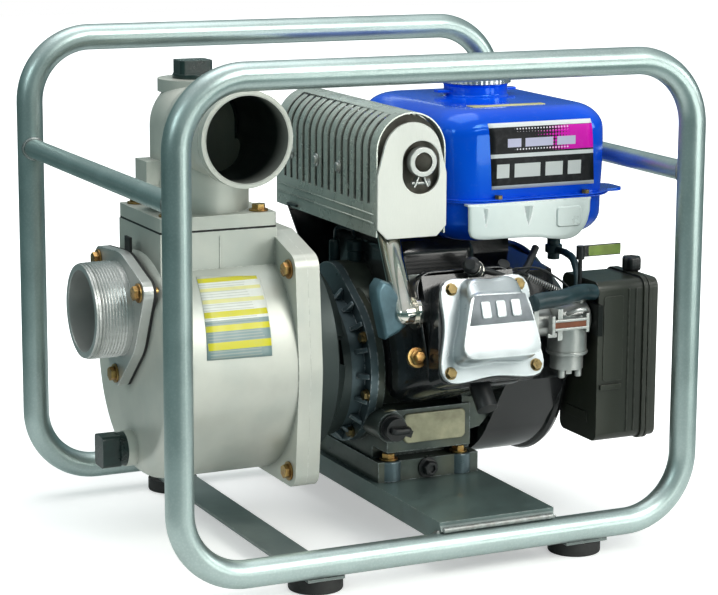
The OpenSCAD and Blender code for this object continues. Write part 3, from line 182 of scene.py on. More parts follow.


# in each look the colour given for corners is painted shade, laid on by ambient occlusion
LOOKS = {
    "tube": surface("zinc_tube", (0.47, 0.575, 0.56), 0.37, 0.92, patch=22, var=0.09, rough_var=0.12,
        grain=1500, bump=0.05, speck=(0.62, 0.70, 0.68), speck_scale=420, corner_shade=(0.16, 0.2, 0.2),
        corner_shade_size=0.006),
    "channel": surface("channel_paint", (0.13, 0.185, 0.175), 0.38, 0.35, patch=35, var=0.2, grain=700,
        bump=0.18, wear=(0.4, 0.42, 0.4), wear_rough=0.4, coat=0.15, corner_shade=(0.05, 0.06, 0.06)),
    "strap": surface("strap_paint", (0.22, 0.26, 0.25), 0.4, 0.4, patch=35, var=0.2, grain=700, bump=0.18,
        wear=(0.45, 0.47, 0.45), wear_rough=0.4, corner_shade=(0.05, 0.06, 0.06)),
    "rubber": surface("black_rubber", (0.012, 0.012, 0.012), 0.62, patch=60, var=0.5, grain=1400, bump=0.3,
        tint=(0.03, 0.03, 0.028)),
    "gold": surface("yellow_zinc", (0.44, 0.30, 0.11), 0.30, 0.95, patch=170, var=0.35, grain=1200,
        bump=0.15, tint=(0.52, 0.16, 0.05), corner_shade=(0.08, 0.04, 0.01), corner_shade_size=0.004),
    "cast": surface("cast_aluminium", (0.66, 0.665, 0.60), 0.40, 0.45, patch=26, var=0.07, grain=1700,
        bump=0.38, tint=(0.50, 0.555, 0.52), wear=(0.85, 0.85, 0.8), wear_rough=0.3,
        corner_shade=(0.22, 0.24, 0.22), corner_shade_size=0.010),
    "cover": surface("satin_casting", (0.58, 0.625, 0.64), 0.33, 0.75, patch=40, var=0.07, grain=1500,
        bump=0.2, wear=(0.95, 0.95, 0.95), wear_rough=0.22, corner_shade=(0.25, 0.3, 0.32), corner_shade_size=0.009),
    "plate": surface("bright_plate", (0.78, 0.785, 0.73), 0.34, 0.4, patch=18, var=0.05, grain=1300,
        bump=0.1, stretch=(1, 1, 0.08), streak=0.12, tint=(0.72, 0.73, 0.70), wear=(0.95, 0.95, 0.92),
        wear_rough=0.25),
    "guard": surface("guard_steel", (0.68, 0.72, 0.655), 0.28, 0.55, patch=25, var=0.12, grain=900,
        bump=0.12, stretch=(1, 0.12, 1), streak=0.25, wear=(0.72, 0.75, 0.71), wear_rough=0.22,
        corner_shade=(0.10, 0.12, 0.11), corner_shade_size=0.006),
    "silencer": surface("silencer_steel", (0.34, 0.34, 0.31), 0.42, 0.8, patch=40, var=0.25, grain=500,
        bump=0.2, tint=(0.26, 0.2, 0.14), corner_shade=(0.04, 0.04, 0.035)),
    "chrome": surface("heat_chrome", (0.78, 0.76, 0.70), 0.09, 1.0, patch=60, var=0.08, grain=600,
        bump=0.04, tint=(0.66, 0.55, 0.36)),
    "steel": surface("ground_steel", (0.55, 0.56, 0.57), 0.3, 1.0, patch=90, var=0.12, grain=1500,
        bump=0.12, stretch=(0.1, 1, 1), streak=0.2, corner_shade=(0.12, 0.11, 0.1)),
    "iron": surface("cast_iron", (0.17, 0.18, 0.185), 0.5, 0.7, patch=70, var=0.25, grain=900, bump=0.5,
        tint=(0.2, 0.15, 0.11), corner_shade=(0.04, 0.04, 0.04)),
    "black": surface("black_enamel", (0.010, 0.011, 0.013), 0.19, 0.0, patch=60, var=0.4, grain=900,
        bump=0.16, coat=0.45, wear=(0.09, 0.1, 0.11), wear_rough=0.3, corner_shade=(0.02, 0.02, 0.018)),
    "case": surface("crankcase_enamel", (0.085, 0.105, 0.092), 0.34, 0.45, patch=50, var=0.3, grain=1200,
        bump=0.4, coat=0.1, tint=(0.13, 0.13, 0.085), wear=(0.34, 0.38, 0.39), wear_rough=0.35,
        wear_width=0.0018, corner_shade=(0.012, 0.014, 0.015)),
    "side": surface("side_cover_silver", (0.13, 0.18, 0.20), 0.34, 0.55, patch=50, var=0.15, grain=1300,
        bump=0.3, wear=(0.66, 0.72, 0.75), wear_rough=0.3, wear_width=0.002, corner_shade=(0.04, 0.06, 0.07)),
    "plug": surface("black_green_plastic", (0.010, 0.026, 0.024), 0.3, patch=70, var=0.4, grain=1500,
        bump=0.2, wear=(0.07, 0.11, 0.10), wear_rough=0.35),
    "plastic": surface("black_plastic", (0.013, 0.014, 0.015), 0.34, patch=70, var=0.4, grain=1600,
        bump=0.2, wear=(0.07, 0.07, 0.07), wear_rough=0.4),
    "olive": surface("olive_plastic", (0.026, 0.030, 0.021), 0.36, 0.0, patch=16, var=0.22, grain=2100,
        bump=0.28, coat=0.12, tint=(0.030, 0.032, 0.022), wear=(0.12, 0.12, 0.10), wear_rough=0.35,
        corner_shade=(0.008, 0.008, 0.006)),
    "foam": surface("filter_foam", (0.34, 0.33, 0.2), 0.95, patch=80, var=0.2, grain=700, bump=0.9,
        speck=(0.12, 0.11, 0.06), speck_scale=600, sheen=0.3),
    "zinc": surface("zinc_diecast", (0.56, 0.57, 0.55), 0.34, 0.8, patch=70, var=0.15, grain=1300,
        bump=0.25, tint=(0.42, 0.44, 0.42), wear=(0.85, 0.85, 0.83), wear_rough=0.25, corner_shade=(0.1, 0.11, 0.1),
        corner_shade_size=0.006),
    "white": surface("pale_shield", (0.74, 0.81, 0.79), 0.34, 0.25, patch=24, var=0.07, grain=900,
        bump=0.12, tint=(0.62, 0.72, 0.72), wear=(0.92, 0.95, 0.95), wear_rough=0.25,
        corner_shade=(0.3, 0.38, 0.38), corner_shade_size=0.007),
    "ceramic": surface("ceramic", (0.78, 0.77, 0.72), 0.2, patch=60, var=0.05, grain=500, bump=0.05,
        coat=0.4, corner_shade=(0.25, 0.22, 0.18)),
    "hose": surface("breather_hose_rubber", (0.016, 0.040, 0.048), 0.36, patch=60, var=0.35, grain=1200,
        bump=0.25, tint=(0.035, 0.06, 0.065)),
    "weld": surface("weld_bead", (0.36, 0.38, 0.37), 0.42, 0.8, patch=300, var=0.25, grain=700, bump=0.5,
        tint=(0.2, 0.18, 0.15)),
    "brown": surface("brown_gasket", (0.20, 0.065, 0.03), 0.6, patch=90, var=0.3, grain=800, bump=0.3),
    "tag": surface("green_tag", (0.20, 0.30, 0.055), 0.5, patch=90, var=0.3, grain=900, bump=0.25,
        tint=(0.30, 0.34, 0.10), wear=(0.5, 0.55, 0.3)),
    "cap": surface("plated_cap", (0.70, 0.74, 0.73), 0.24, 0.95, patch=60, var=0.08, grain=900, bump=0.1,
        wear=(0.95, 0.96, 0.95), wear_rough=0.15, corner_shade=(0.16, 0.2, 0.2), corner_shade_size=0.003),
    "nozzle": surface("nozzle_aluminium", (0.62, 0.63, 0.61), 0.36, 0.7, patch=30, var=0.08, grain=1500,
        bump=0.22, wear=(0.9, 0.9, 0.88), wear_rough=0.25, corner_shade=(0.24, 0.26, 0.25), corner_shade_size=0.004),
}


def blue_paint():
    """Deep gloss blue enamel with orange peel, a little dust and paler rubbed edges."""
    n = Nodes("blue_enamel")
    large = n.noise(9.0, 3.0)
    color = n.mix(n.ramp(large, 0.3, 0.7), (0.0, 0.062, 0.70), (0.0, 0.105, 0.86))
    dust = n.times(n.ramp(n.noise(140.0, 6.0, 0.7), 0.55, 0.8), 0.06)
    color = n.mix(dust, color, (0.35, 0.45, 0.7))
    rubbed = n.times(n.edge(0.0012), n.ramp(n.noise(120.0), 0.45, 0.62, 0.0, 0.45))
    color = n.mix(rubbed, color, (0.08, 0.22, 0.95))
    return n.paint(Base_Color=color, Roughness=n.ramp(n.noise(45.0, 4.0), 0.3, 0.7, 0.12, 0.20),
                   Specular_Tint=(0.10, 0.45, 1.0), Specular_IOR_Level=0.9, Coat_Weight=0.22,
                   Coat_Roughness=0.05, Normal=n.bump(n.noise(260.0, 2.0), 0.06, 0.0005))


LOOKS["blue"] = blue_paint()
LOOKS["hood"] = surface("hood_enamel", (0.085, 0.155, 0.185), 0.34, 0.35, patch=50, var=0.3, grain=1200)
LOOKS["bronze"] = surface("dark_zinc", (0.19, 0.14, 0.06), 0.32, 0.9, patch=170, var=0.35, grain=1200)
LOOKS["band"] = surface("rough_casting", (0.26, 0.28, 0.30), 0.55, 0.5, patch=80, var=0.2, grain=1300,
    bump=0.6, wear=(0.6, 0.62, 0.63), wear_rough=0.3)
LOOKS["soot"] = surface("sooty_steel", (0.19, 0.178, 0.15), 0.6, 0.5, patch=60, var=0.4, grain=900,
    bump=0.4, tint=(0.09, 0.06, 0.04))
LOOKS["fitting"] = surface("teal_fitting", (0.012, 0.030, 0.036), 0.3, 0.1, patch=60, var=0.4, grain=1300,
    bump=0.2, wear=(0.10, 0.15, 0.16), wear_rough=0.35)
LOOKS["panel"] = surface("olive_casting", (0.42, 0.40, 0.27), 0.42, 0.5, patch=60, var=0.3, grain=1200,
    bump=0.5, tint=(0.30, 0.29, 0.20), wear=(0.7, 0.68, 0.55), wear_rough=0.35)


def paint_shade_where(name, mask_of, tone, look="cast"):
    """A look with painted shade: a darker tone where mask_of gives 1, from the object's coordinates."""
    n = Nodes(name, copy_of=LOOKS[look])
    color = n.bsdf.inputs["Base Color"].links[0].from_socket
    return n.paint(Base_Color=n.mix(mask_of(n, n.position()), color, tone))


# axis and radius of the elbow's outlet; the masks work in metres
OUTLET_X, OUTLET_Z, OUTLET_R = -0.150, 0.397, 0.0408


def shade_past_flange(n, p):
    """The adaptor beyond the pump's flange, towards the engine, painted dark as the shade that falls deep between
    pump and engine.
    """
    return n.ramp(p["X"], -0.0735, -0.0725)


def bore_shade(n, p):
    """Painted shade in the bore of the elbow, fading in behind its mouth."""
    far = n.length(n.math("SUBTRACT", p["X"], OUTLET_X), n.math("SUBTRACT", p["Z"], OUTLET_Z))
    depth = n.times(n.ramp(p["Y"], -0.112, -0.075), n.below(p["Y"], 0.02))
    return n.times(n.below(far, OUTLET_R), depth)


def air_cleaner_shadow(n, p):
    """The end of the carburettor that the air cleaner shades, painted dark as its shadow."""
    return n.ramp(p["X"], 0.1885, 0.1890)


# painted shade on part of the carburettor, the adaptor and the elbow
LOOKS["carb"] = paint_shade_where("carburettor_zinc", air_cleaner_shadow, (0.012, 0.015, 0.014), "zinc")
LOOKS["adaptor"] = paint_shade_where("adaptor_casting", shade_past_flange, (0.045, 0.06, 0.058))
LOOKS["elbow"] = paint_shade_where("elbow_casting", bore_shade, (0.012, 0.018, 0.018))

# -------- what each CAD node wears

NODE_LOOK = {
    "tube": "front_hoop rear_hoop cross_tubes",
    "channel": "engine_channel",
    "strap": "foot_straps",
    "rubber": "rubber_feet valve_gasket check_flap delivery_gasket",
    "gold": "frame_bolts pump_bolts",
    "bronze": "engine_screws",
    "cast": "pump_casing",
    "adaptor": "engine_adaptor",
    "elbow": "delivery_elbow",
    "nozzle": "suction_nozzle",
    "iron": "volute impeller flywheel",
    "plug": "priming_cap drain_plug",
    "plastic": "shaft_seal oil_cap starter_handle cover_knob choke_lever spark_plug",
    "case": "crankcase",
    "side": "crankcase_cover",
    "black": "cylinder_head fan_housing recoil_housing",
    "cover": "rocker_cover conrod_big_end conrod_shank piston",
    "steel": "crankshaft main_bearings wrist_pin camshaft intake_valve exhaust_valve intake_rocker "
             "exhaust_rocker intake_pushrod exhaust_pushrod",
    "ceramic": "recoil_pulley",
    "silencer": "muffler",
    "guard": "muffler_guard",
    "plate": "muffler_end_plate",
    "chrome": "exhaust_pipe",
    "blue": "fuel_tank_upper fuel_tank_lower",
    "cap": "fuel_cap",
    "white": "tank_shield",
    "carb": "carburettor",
    "olive": "air_cleaner_case air_cleaner_cover",
    "foam": "air_filter",
    "hose": "breather_hose",
}
# width of the rounded edges in millimetres; the other nodes get EDGE
EDGE = 0.5
EDGE_NAMES = {
    2.5: "fan_housing",
    2.2: "pump_casing",
    1.8: "engine_adaptor delivery_elbow",
    1.6: "air_cleaner_case air_cleaner_cover priming_cap drain_plug",
    1.5: "crankcase crankcase_cover recoil_housing rubber_feet muffler",
    1.4: "cover_knob",
    1.2: "suction_nozzle",
    0.8: "cylinder_head oil_cap",
    0.7: "muffler_end_plate",
    0.4: "fuel_cap engine_screws",
    0.35: "muffler_guard",
    0.3: "camshaft front_hoop rear_hoop cross_tubes valve_gasket delivery_gasket",
}
BEVEL = {name: width for width, names in EDGE_NAMES.items() for name in names.split()}


def smooth_group():
    """Geometry nodes that shade smooth apart from edges sharper than an angle."""
    g = bpy.data.node_groups.new("smooth_by_angle", "GeometryNodeTree")
    g.interface.new_socket("Geometry", in_out="INPUT", socket_type="NodeSocketGeometry")
    g.interface.new_socket("Geometry", in_out="OUTPUT", socket_type="NodeSocketGeometry")
    src, out = g.nodes.new("NodeGroupInput"), g.nodes.new("NodeGroupOutput")
    angle = g.nodes.new("GeometryNodeInputMeshEdgeAngle")
    less = g.nodes.new("FunctionNodeCompare")
    less.operation = "LESS_THAN"
    less.inputs[1].default_value = radians(SMOOTH_ANGLE)
    faces, edges = g.nodes.new("GeometryNodeSetShadeSmooth"), g.nodes.new("GeometryNodeSetShadeSmooth")
    edges.domain = "EDGE"
    g.links.new(src.outputs[0], faces.inputs["Geometry"])
    g.links.new(faces.outputs[0], edges.inputs["Geometry"])
    g.links.new(angle.outputs[0], less.inputs[0])
    g.links.new(less.outputs[0], edges.inputs["Shade Smooth"])
    g.links.new(edges.outputs[0], out.inputs[0])
    return g


SMOOTH = smooth_group()


def round_edges(obj, width):
    """Round the edges by a width in millimetres and shade smooth between them."""
    edges = obj.modifiers.new("edges", "BEVEL")
    edges.width = width * mm
    edges.segments = 2
    edges.limit_method = "ANGLE"
    edges.angle_limit = radians(EDGE_ANGLE)
    obj.modifiers.new("smooth", "NODES").node_group = SMOOTH
    obj.modifiers.new("weights", "WEIGHTED_NORMAL").keep_sharp = True


def merge_facets(obj):
    """Weld an imported mesh and merge its flat facets."""
    obj.modifiers.new("weld", "WELD").merge_threshold = 0.02 * mm
    flat = obj.modifiers.new("flat", "DECIMATE")
    flat.decimate_type = "DISSOLVE"
    flat.angle_limit = radians(0.6)


for look, names in NODE_LOOK.items():
    for name in names.split():
        o = nodes[name]
        o.data.materials.clear()
        o.data.materials.append(LOOKS[look])
        merge_facets(o)
        round_edges(o, BEVEL.get(name, EDGE))


# -------- mesh tools


def add_object(name, data):
    obj = bpy.data.objects.new(name, data)
    bpy.context.scene.collection.objects.link(obj)
    return obj


def piece(name, verts, faces, look, body="frame", slot=None, smooth=True, bevel=0.0, replaces=()):
    """A new mesh piece that rides on a body; the slot argument is not used."""
    mesh = bpy.data.meshes.new(name)
    mesh.from_pydata([tuple(v) for v in verts], [], faces)
    mesh.validate()
    mesh.update()
    obj = add_object(name, mesh)
    mesh.materials.append(LOOKS[look] if isinstance(look, str) else look)
    if smooth:
        for p in mesh.polygons:
            p.use_smooth = True
    if bevel:
        round_edges(obj, bevel)
    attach(obj, body)
    if replaces:
        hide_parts(*replaces)


class Build:
    """Collects vertices and faces of one piece, in millimetres."""

    def __init__(self):
        self.v, self.f = [], []

    def rings(self, rings, close_ends=True):
        """Skin closed outlines of equal length, one after the other."""
        base, n = len(self.v), len(rings[0])
        for r in rings:
            self.v += [Vector(p) * mm for p in r]
        for i in range(len(rings) - 1):
            a, b = base + i * n, base + (i + 1) * n
            for j in range(n):
                k = (j + 1) % n
                self.f.append((a + j, a + k, b + k, b + j))
        if close_ends:
            self.f.append(tuple(base + j for j in reversed(range(n))))
            self.f.append(tuple(base + (len(rings) - 1) * n + j for j in range(n)))
        return self

    def prism(self, axis, outline, stations, centre=(0, 0)):
        """Stack a flat outline along x, y or z; a station is a position or (scale, position)."""
        rings = []
        for station in stations:
            scale, at = station if isinstance(station, tuple) else (1.0, station)
            flat = [(centre[0] + (u - centre[0]) * scale, centre[1] + (v - centre[1]) * scale)
                    for u, v in outline]
            rings.append([{"x": (at, u, v), "y": (u, at, v), "z": (u, v, at)}[axis] for u, v in flat])
        return self.rings(rings)

    def lathe(self, profile, origin, axis, n=48, hollow=False):
        """Revolve (radius, along) pairs about an axis; hollow closes the profile on itself."""
        if hollow:
            profile = list(profile) + [profile[0]]
        axis = Vector(axis).normalized()
        u = axis.orthogonal().normalized()
        w = axis.cross(u)
        turn = [u * cos(t) + w * sin(t) for t in circle_angles(n)]
        return self.rings([[Vector(origin) + axis * h + d * r for d in turn] for r, h in profile],
                          close_ends=not hollow)

    def sweep(self, path, radius, n=12):
        """A round bar along a path; radius may be a list."""
        pts = [Vector(p) for p in path]
        rings = []
        side = None
        for i, p in enumerate(pts):
            q = pts[min(i + 1, len(pts) - 1)] - pts[max(i - 1, 0)]
            q.normalize()
            side = q.orthogonal().normalized() if side is None else (side - q * side.dot(q)).normalized()
            w = q.cross(side)
            r = radius[i] if isinstance(radius, list) else radius
            rings.append([p + (side * cos(a) + w * sin(a)) * r for a in circle_angles(n)])
        return self.rings(rings)

    def box(self, lo, hi):
        return self.prism("z", [(lo[0], lo[1]), (hi[0], lo[1]), (hi[0], hi[1]), (lo[0], hi[1])],
                          (lo[2], hi[2]))

    def card(self, point, cols, rows):
        """Thin sheet on a grid; point(s, t, side) gives a corner, side 0 in front and 1 behind."""
        row = cols + 1
        for side in (0, 1):
            base = len(self.v)
            for i in range(rows + 1):
                self.v += [Vector(point(j / cols, i / rows, side)) * mm for j in range(row)]
            for i in range(rows):
                for j in range(cols):
                    a = base + i * row + j
                    quad = (a, a + 1, a + row + 1, a + row)
                    self.f.append(quad[::-1] if side else quad)
        edge = list(range(row)) + [(i + 1) * row - 1 for i in range(1, rows + 1)]
        edge += [rows * row + j for j in reversed(range(cols))] + [i * row for i in reversed(range(1, rows))]
        back = (rows + 1) * row
        for a, c in zip(edge, edge[1:] + edge[:1]):
            self.f.append((a, a + back, c + back, c))
        return self

    def make(self, name, look, **kw):
        piece(name, self.v, self.f, look, **kw)


def circle_angles(n):
    return [2 * pi * k / n for k in range(n)]


def disc(radius, height, start=0.0, hole=0.3):
    """Profile of a short cylinder, for a lathe."""
    return [(hole, start), (radius, start), (radius, start + height), (hole, start + height)]


def smooth_path(points, steps=24):
    """Smooth Catmull-Rom path through points."""
    p = [Vector(q) for q in points]
    p = [2 * p[0] - p[1]] + p + [2 * p[-1] - p[-2]]
    out = []
    for i in range(1, len(p) - 2):
        for k in range(steps):
            t = k / steps
            out.append(0.5 * ((2 * p[i]) + (p[i + 1] - p[i - 1]) * t
                              + (2 * p[i - 1] - 5 * p[i] + 4 * p[i + 1] - p[i + 2]) * t * t
                              + (3 * p[i] - p[i - 1] - 3 * p[i + 1] + p[i + 2]) * t ** 3))
    out.append(p[-2])
    return out


def rounded(x0, x1, y0, y1, r, steps=8):
    """Closed rounded rectangle, counter-clockwise."""
    pts = []
    for cx, cy, a0 in ((x1 - r, y1 - r, 0), (x0 + r, y1 - r, 90), (x0 + r, y0 + r, 180),
                       (x1 - r, y0 + r, 270)):
        for k in range(steps + 1):
            a = radians(a0 + 90 * k / steps)
            pts.append((cx + r * cos(a), cy + r * sin(a)))
    return pts


def place(name):
    """Box of a CAD node in millimetres: x0, x1 and the middle mx, and the same for y and z."""
    span = {}
    for axis, low, high in zip("xyz", *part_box(name)):
        span[axis + "0"], span[axis + "1"], span["m" + axis] = low * 1000, high * 1000, (low + high) * 500
    return SimpleNamespace(**span)


def mount(name):
    return next(m for m in frame["record"]["mounts"] if m["name"] == name)


# -------- stations from the frame

TILT = radians(20)
TUBE_R = 12.7
crank = Vector(joints["crank_spin"]["pos_m"]) * 1000
hoop = place("front_hoop")
deck = place("engine_channel")
muffler = place("muffler")
guard = place("muffler_guard")
case = place("air_cleaner_case")
lid = place("air_cleaner_cover")
HOOP_Y = abs(hoop.my)
BAR_Z = hoop.z0 + TUBE_R
HEAD_X = place("piston").mx


def head(x, y, z):
    """A point of the tilted cylinder: z along the bore, y up, x along the crankshaft."""
    return Vector((HEAD_X + x, crank[1] + y * sin(TILT) - z * cos(TILT),
                   crank[2] + y * cos(TILT) + z * sin(TILT)))


BORE_AXIS = head(0, 0, 1) - head(0, 0, 0)
UP, ALONG_X, ALONG_Y, FORWARD = (0, 0, 1), (1, 0, 0), (0, 1, 0), (0, -1, 0)

# -------- fuel tank

TANK_X0, TANK_X1, TANK_Y0, TANK_Y1 = 60.0, 238.0, -90.0, 125.0
SEAM, TOP, BOTTOM = 325.0, 410.0, 283.0
FILLET = 23.0


def tank_ring(inset, z, r):
    """The tank's outline at a height, pulled in by inset."""
    half = min(TANK_X1 - TANK_X0, TANK_Y1 - TANK_Y0) / 2 - inset
    return [(x, y, z) for x, y in rounded(TANK_X0 + inset, TANK_X1 - inset, TANK_Y0 + inset, TANK_Y1 - inset,
                                          max(2.0, min(r, half - 1)), 10)]


def tank_inset(z):
    """How far the wall stands in from the tank's box at a height, bulging slightly half-way up."""
    t = (z - SEAM) / (TOP - SEAM)
    bulge = -1.3 * sin(pi * min(1.0, max(0.0, t)))
    s = min(1.0, max(0.0, (z - (TOP - FILLET)) / FILLET))
    return bulge + FILLET * (1 - sqrt(max(0.0, 1 - s * s)))


def rim(z0, z1):
    """Rolled lip round the seam, as rings from inside to inside."""
    out = []
    for grow, z in ((-3, z0), (5.5, z0), (7.6, z0 + 0.3), (8.2, (z0 + z1) / 2), (7.6, z1 - 0.3), (5.5, z1),
                    (-3, z1)):
        left = min(grow, 1.0)
        line = rounded(TANK_X0 - left, TANK_X1 + grow, TANK_Y0 - grow, TANK_Y1 + grow, 34 + grow, 10)
        out.append([(x, y, z) for x, y in line])
    return out


b = Build()
levels = [SEAM - 0.5 + (TOP - FILLET - SEAM) * i / 6 for i in range(7)]
levels += [TOP - FILLET + FILLET * sin(radians(a)) for a in range(9, 91, 9)]
shell = [tank_ring(tank_inset(z), z, 33 - 0.35 * max(0.0, tank_inset(z))) for z in levels]
shell += [tank_ring(inset, TOP + rise, 30 - 0.2 * inset)
          for inset, rise in ((32, 0.5), (44, 1.0), (60, 1.5), (80, 1.9))]
b.rings(shell)
b.rings(rim(SEAM - 0.1, SEAM + 1.7), close_ends=False)
b.prism("z", rounded(TANK_X1 - 16, TANK_X1 + 21, -78, -43, 10), (SEAM - 1.2, SEAM + 1.8))
b.make("tank_shell_upper", "blue", bevel=0.5, replaces=["fuel_tank_upper"])

b = Build()
shell = [tank_ring(0, z, 33) for z in (SEAM, SEAM - 8, SEAM - 15)]
for a in range(10, 91, 10):
    inset = 24 * (1 - cos(radians(a)))
    shell.append(tank_ring(inset, SEAM - 18 - 24 * sin(radians(a)), 33 - 0.3 * inset))
shell.append(tank_ring(60, BOTTOM - 0.6, 20))
b.rings(shell[::-1])
b.rings(rim(SEAM - 2.0, SEAM - 0.1), close_ends=False)
b.make("tank_shell_lower", "blue", bevel=0.5, replaces=["fuel_tank_lower"])

# neck with its two lugs
cap = place("fuel_cap")
b = Build()
b.lathe([(20, 405), (37, 410.3), (33.6, 411.3), (32.2, 412.6), (31.6, 414), (31.6, 421), (32.4, 422),
         (32.4, 423.4), (20, 423.4)], (cap.mx, cap.my, 0), UP, 64)
for s in (-1, 1):
    b.prism("z", [(cap.mx + s * x, cap.my + y) for x, y in ((29, -8), (44, -4), (44, 4), (29, 8))],
            (415.0, 417.5))
b.make("tank_neck", "blue", bevel=0.5)

# tap under the tank
TAP = Vector((195, -52, 0))
b = Build()
b.lathe([(0.5, 256), (6, 256), (6, 262), (8.5, 263), (8.5, 270), (6.5, 271), (6.5, 276), (10, 278),
         (10, 284), (0.5, 284)], TAP, UP, 24)
b.sweep([TAP + Vector((0, y, 266)) for y in (0, -10, -22)], 3.4, 10)
b.make("fuel_tap", "hose", bevel=0.3)

DECAL_X0, DECAL_X1, DECAL_Z0, DECAL_Z1 = 100.0, 212.0, 335.0, 398.0


def decal_look():
    """Black panel with plain bars, thin rules and a dotted magenta corner."""
    n = Nodes("tank_decal")
    p = n.position()
    u = n.ramp(p["X"], DECAL_X0 * mm, DECAL_X1 * mm)
    v = n.ramp(p["Z"], DECAL_Z0 * mm, DECAL_Z1 * mm)
    grid = n.add("ShaderNodeVectorMath", {0: n.coord, "Scale": 310.0}, operation="SCALE")
    frac = n.add("ShaderNodeVectorMath", grid.outputs[:1], operation="FRACTION")
    cell = n.add("ShaderNodeSeparateXYZ", frac.outputs[:1])
    far = n.length(*(n.math("SUBTRACT", cell.outputs[k], 0.5) for k in ("X", "Z")))
    pink = n.below(far, n.times(n.ramp(u, 0.42, 0.86), 0.78))
    color = n.mix(n.times(pink, n.band(v, 0.56, 0.93)), (0.008, 0.008, 0.010), (0.80, 0.0, 0.52))
    dots = n.times(n.below(far, 0.24), n.band(u, 0.25, 0.78))
    edge_rows = n.math("ADD", n.band(v, 0.86, 0.925), n.band(v, 0.565, 0.62), clamp=True)
    color = n.mix(n.times(dots, edge_rows), color, (0.9, 0.85, 0.92))
    lilac = ((0.66, 0.64, 0.84), n.band(v, 0.63, 0.76), ((0.18, 0.31), (0.35, 0.62), (0.66, 0.84)))
    grey = ((0.70, 0.72, 0.71), n.band(v, 0.17, 0.38),
            ((0.08, 0.20), (0.25, 0.50), (0.55, 0.72), (0.77, 0.90)))
    for tone, height, bars in (lilac, grey):
        for left, right in bars:
            color = n.mix(n.times(n.band(u, left, right), height), color, tone)
    for low, high, tone in ((0.935, 1.1, (0.85, 0.87, 0.88)), (0.475, 0.535, (0.80, 0.82, 0.83)),
                            (-0.1, 0.055, (0.55, 0.58, 0.6))):
        color = n.mix(n.band(v, low, high), color, tone)
    haze = n.times(n.ramp(n.noise(160.0, 6.0), 0.5, 0.8), 0.05)
    n.paint(Specular_IOR_Level=0.25)
    return n.printed(n.mix(haze, color, (0.5, 0.5, 0.55)), 60.0, (0.34, 0.46), 500.0, 0.04)


def decal_point(s, t, side):
    x = DECAL_X0 + 4.0 * (1 - t) + (DECAL_X1 - DECAL_X0) * s
    z = DECAL_Z0 + (DECAL_Z1 - DECAL_Z0) * t
    return x, TANK_Y0 + tank_inset(z) - (0.05 if side else 0.35), z


Build().card(decal_point, 16, 16).make("tank_decal", decal_look(), slot="blue_paint")


def strip_look():
    """Thin dark stripes on a pale yellow card."""
    n = Nodes("pale_strip")
    wave = n.math("FRACT", n.times(n.position()["Y"], 250.0))
    color = n.mix(n.below(wave, 0.35), (0.80, 0.74, 0.30), (0.30, 0.27, 0.12))
    color = n.mix(n.times(n.noise(300.0), 0.15), color, (0.4, 0.4, 0.35))
    return n.printed(color, 80.0, (0.35, 0.5), 600.0, 0.05)


b = Build().prism("z", rounded(98, 178, -62, -46, 3, 4), (TOP + 0.2, TOP + 0.8))
b.make("tank_strip", strip_look(), slot="blue_paint")

# -------- rocker cover

PLANE = 180.0
FLANGE = [(-30, 36), (-43, -41), (46, -41), (41, 36)]
WALL = [(-14, 38), (-34, -30), (37, -30), (26, 38)]
CROWN = [(-19, 19), (27, 17), (33, -27), (-34, -26)]
BAR_Y = 10.5
OUTLINE_STEPS = 64


def outline(points, r, pull):
    """Outline round four discs; the sides between them are pulled in by pull."""
    corners = [Vector(p) for p in points]
    middle = sum(corners, Vector((0, 0))) / 4
    out = []
    for a in circle_angles(OUTLINE_STEPS):
        d = Vector((cos(a), sin(a)))
        reach = max((p - middle).dot(d) for p in corners) + r
        for p, q in zip(corners, corners[1:] + corners[:1]):
            along = (q - p).normalized()
            out_of = Vector((along.y, -along.x))
            if out_of.dot(p - middle) < 0:
                out_of = -out_of
            if out_of.dot(d) > 1e-6:
                t = (out_of.dot(p - middle) + r) / out_of.dot(d)
                s = (d * t + middle - p).dot(along) / (q - p).length
                reach = min(reach, t - pull * max(0.0, sin(pi * min(1, max(0, s)))) ** 1.5)
        out.append(middle + d * reach)
    # round the corners by averaging neighbours
    for _ in range(3):
        out = [(out[i - 1] + out[i] * 2 + out[(i + 1) % OUTLINE_STEPS]) / 4 for i in range(OUTLINE_STEPS)]
    return out


base_line, wall_line = outline(FLANGE, 11.0, 5.0), outline(WALL, 7.0, 3.0)
crown_line, inner_line = outline(CROWN, 7.5, 0.0), outline(CROWN, -2.0, 0.0)
b = Build()
# each level blends two outlines by a share, at a height above the gasket plane
cover_levels = [(base_line, base_line, 0, 0.3), (base_line, base_line, 0, 4.6)]
cover_levels += [(base_line, wall_line, t, z) for t, z in ((0.12, 5.2), (0.85, 5.4), (1, 6.4))]
cover_levels += [(wall_line, crown_line, t, z)
                 for t, z in ((0.06, 17.0), (0.14, 20.5), (0.30, 22.6), (0.80, 27.0), (0.92, 29.0),
                              (0.98, 31.4), (1, 32.6))]
cover_levels += [(crown_line, inner_line, t, z) for t, z in ((0.15, 33.2), (1, 33.3))]
b.rings([[head(*p.lerp(q, t), PLANE + z) for p, q in zip(low, high)] for low, high, t, z in cover_levels])
b.make("rocker_cover_shell", "cover", bevel=0.6, replaces=["rocker_cover"])


def on_cover(b, points, centre, levels):
    """Raise a flat outline off the crown; each level is a scale and a height."""
    cx, cy = centre
    b.rings([[head(cx + (x - cx) * s, cy + (y - cy) * s, PLANE + z) for x, y in points] for s, z in levels])


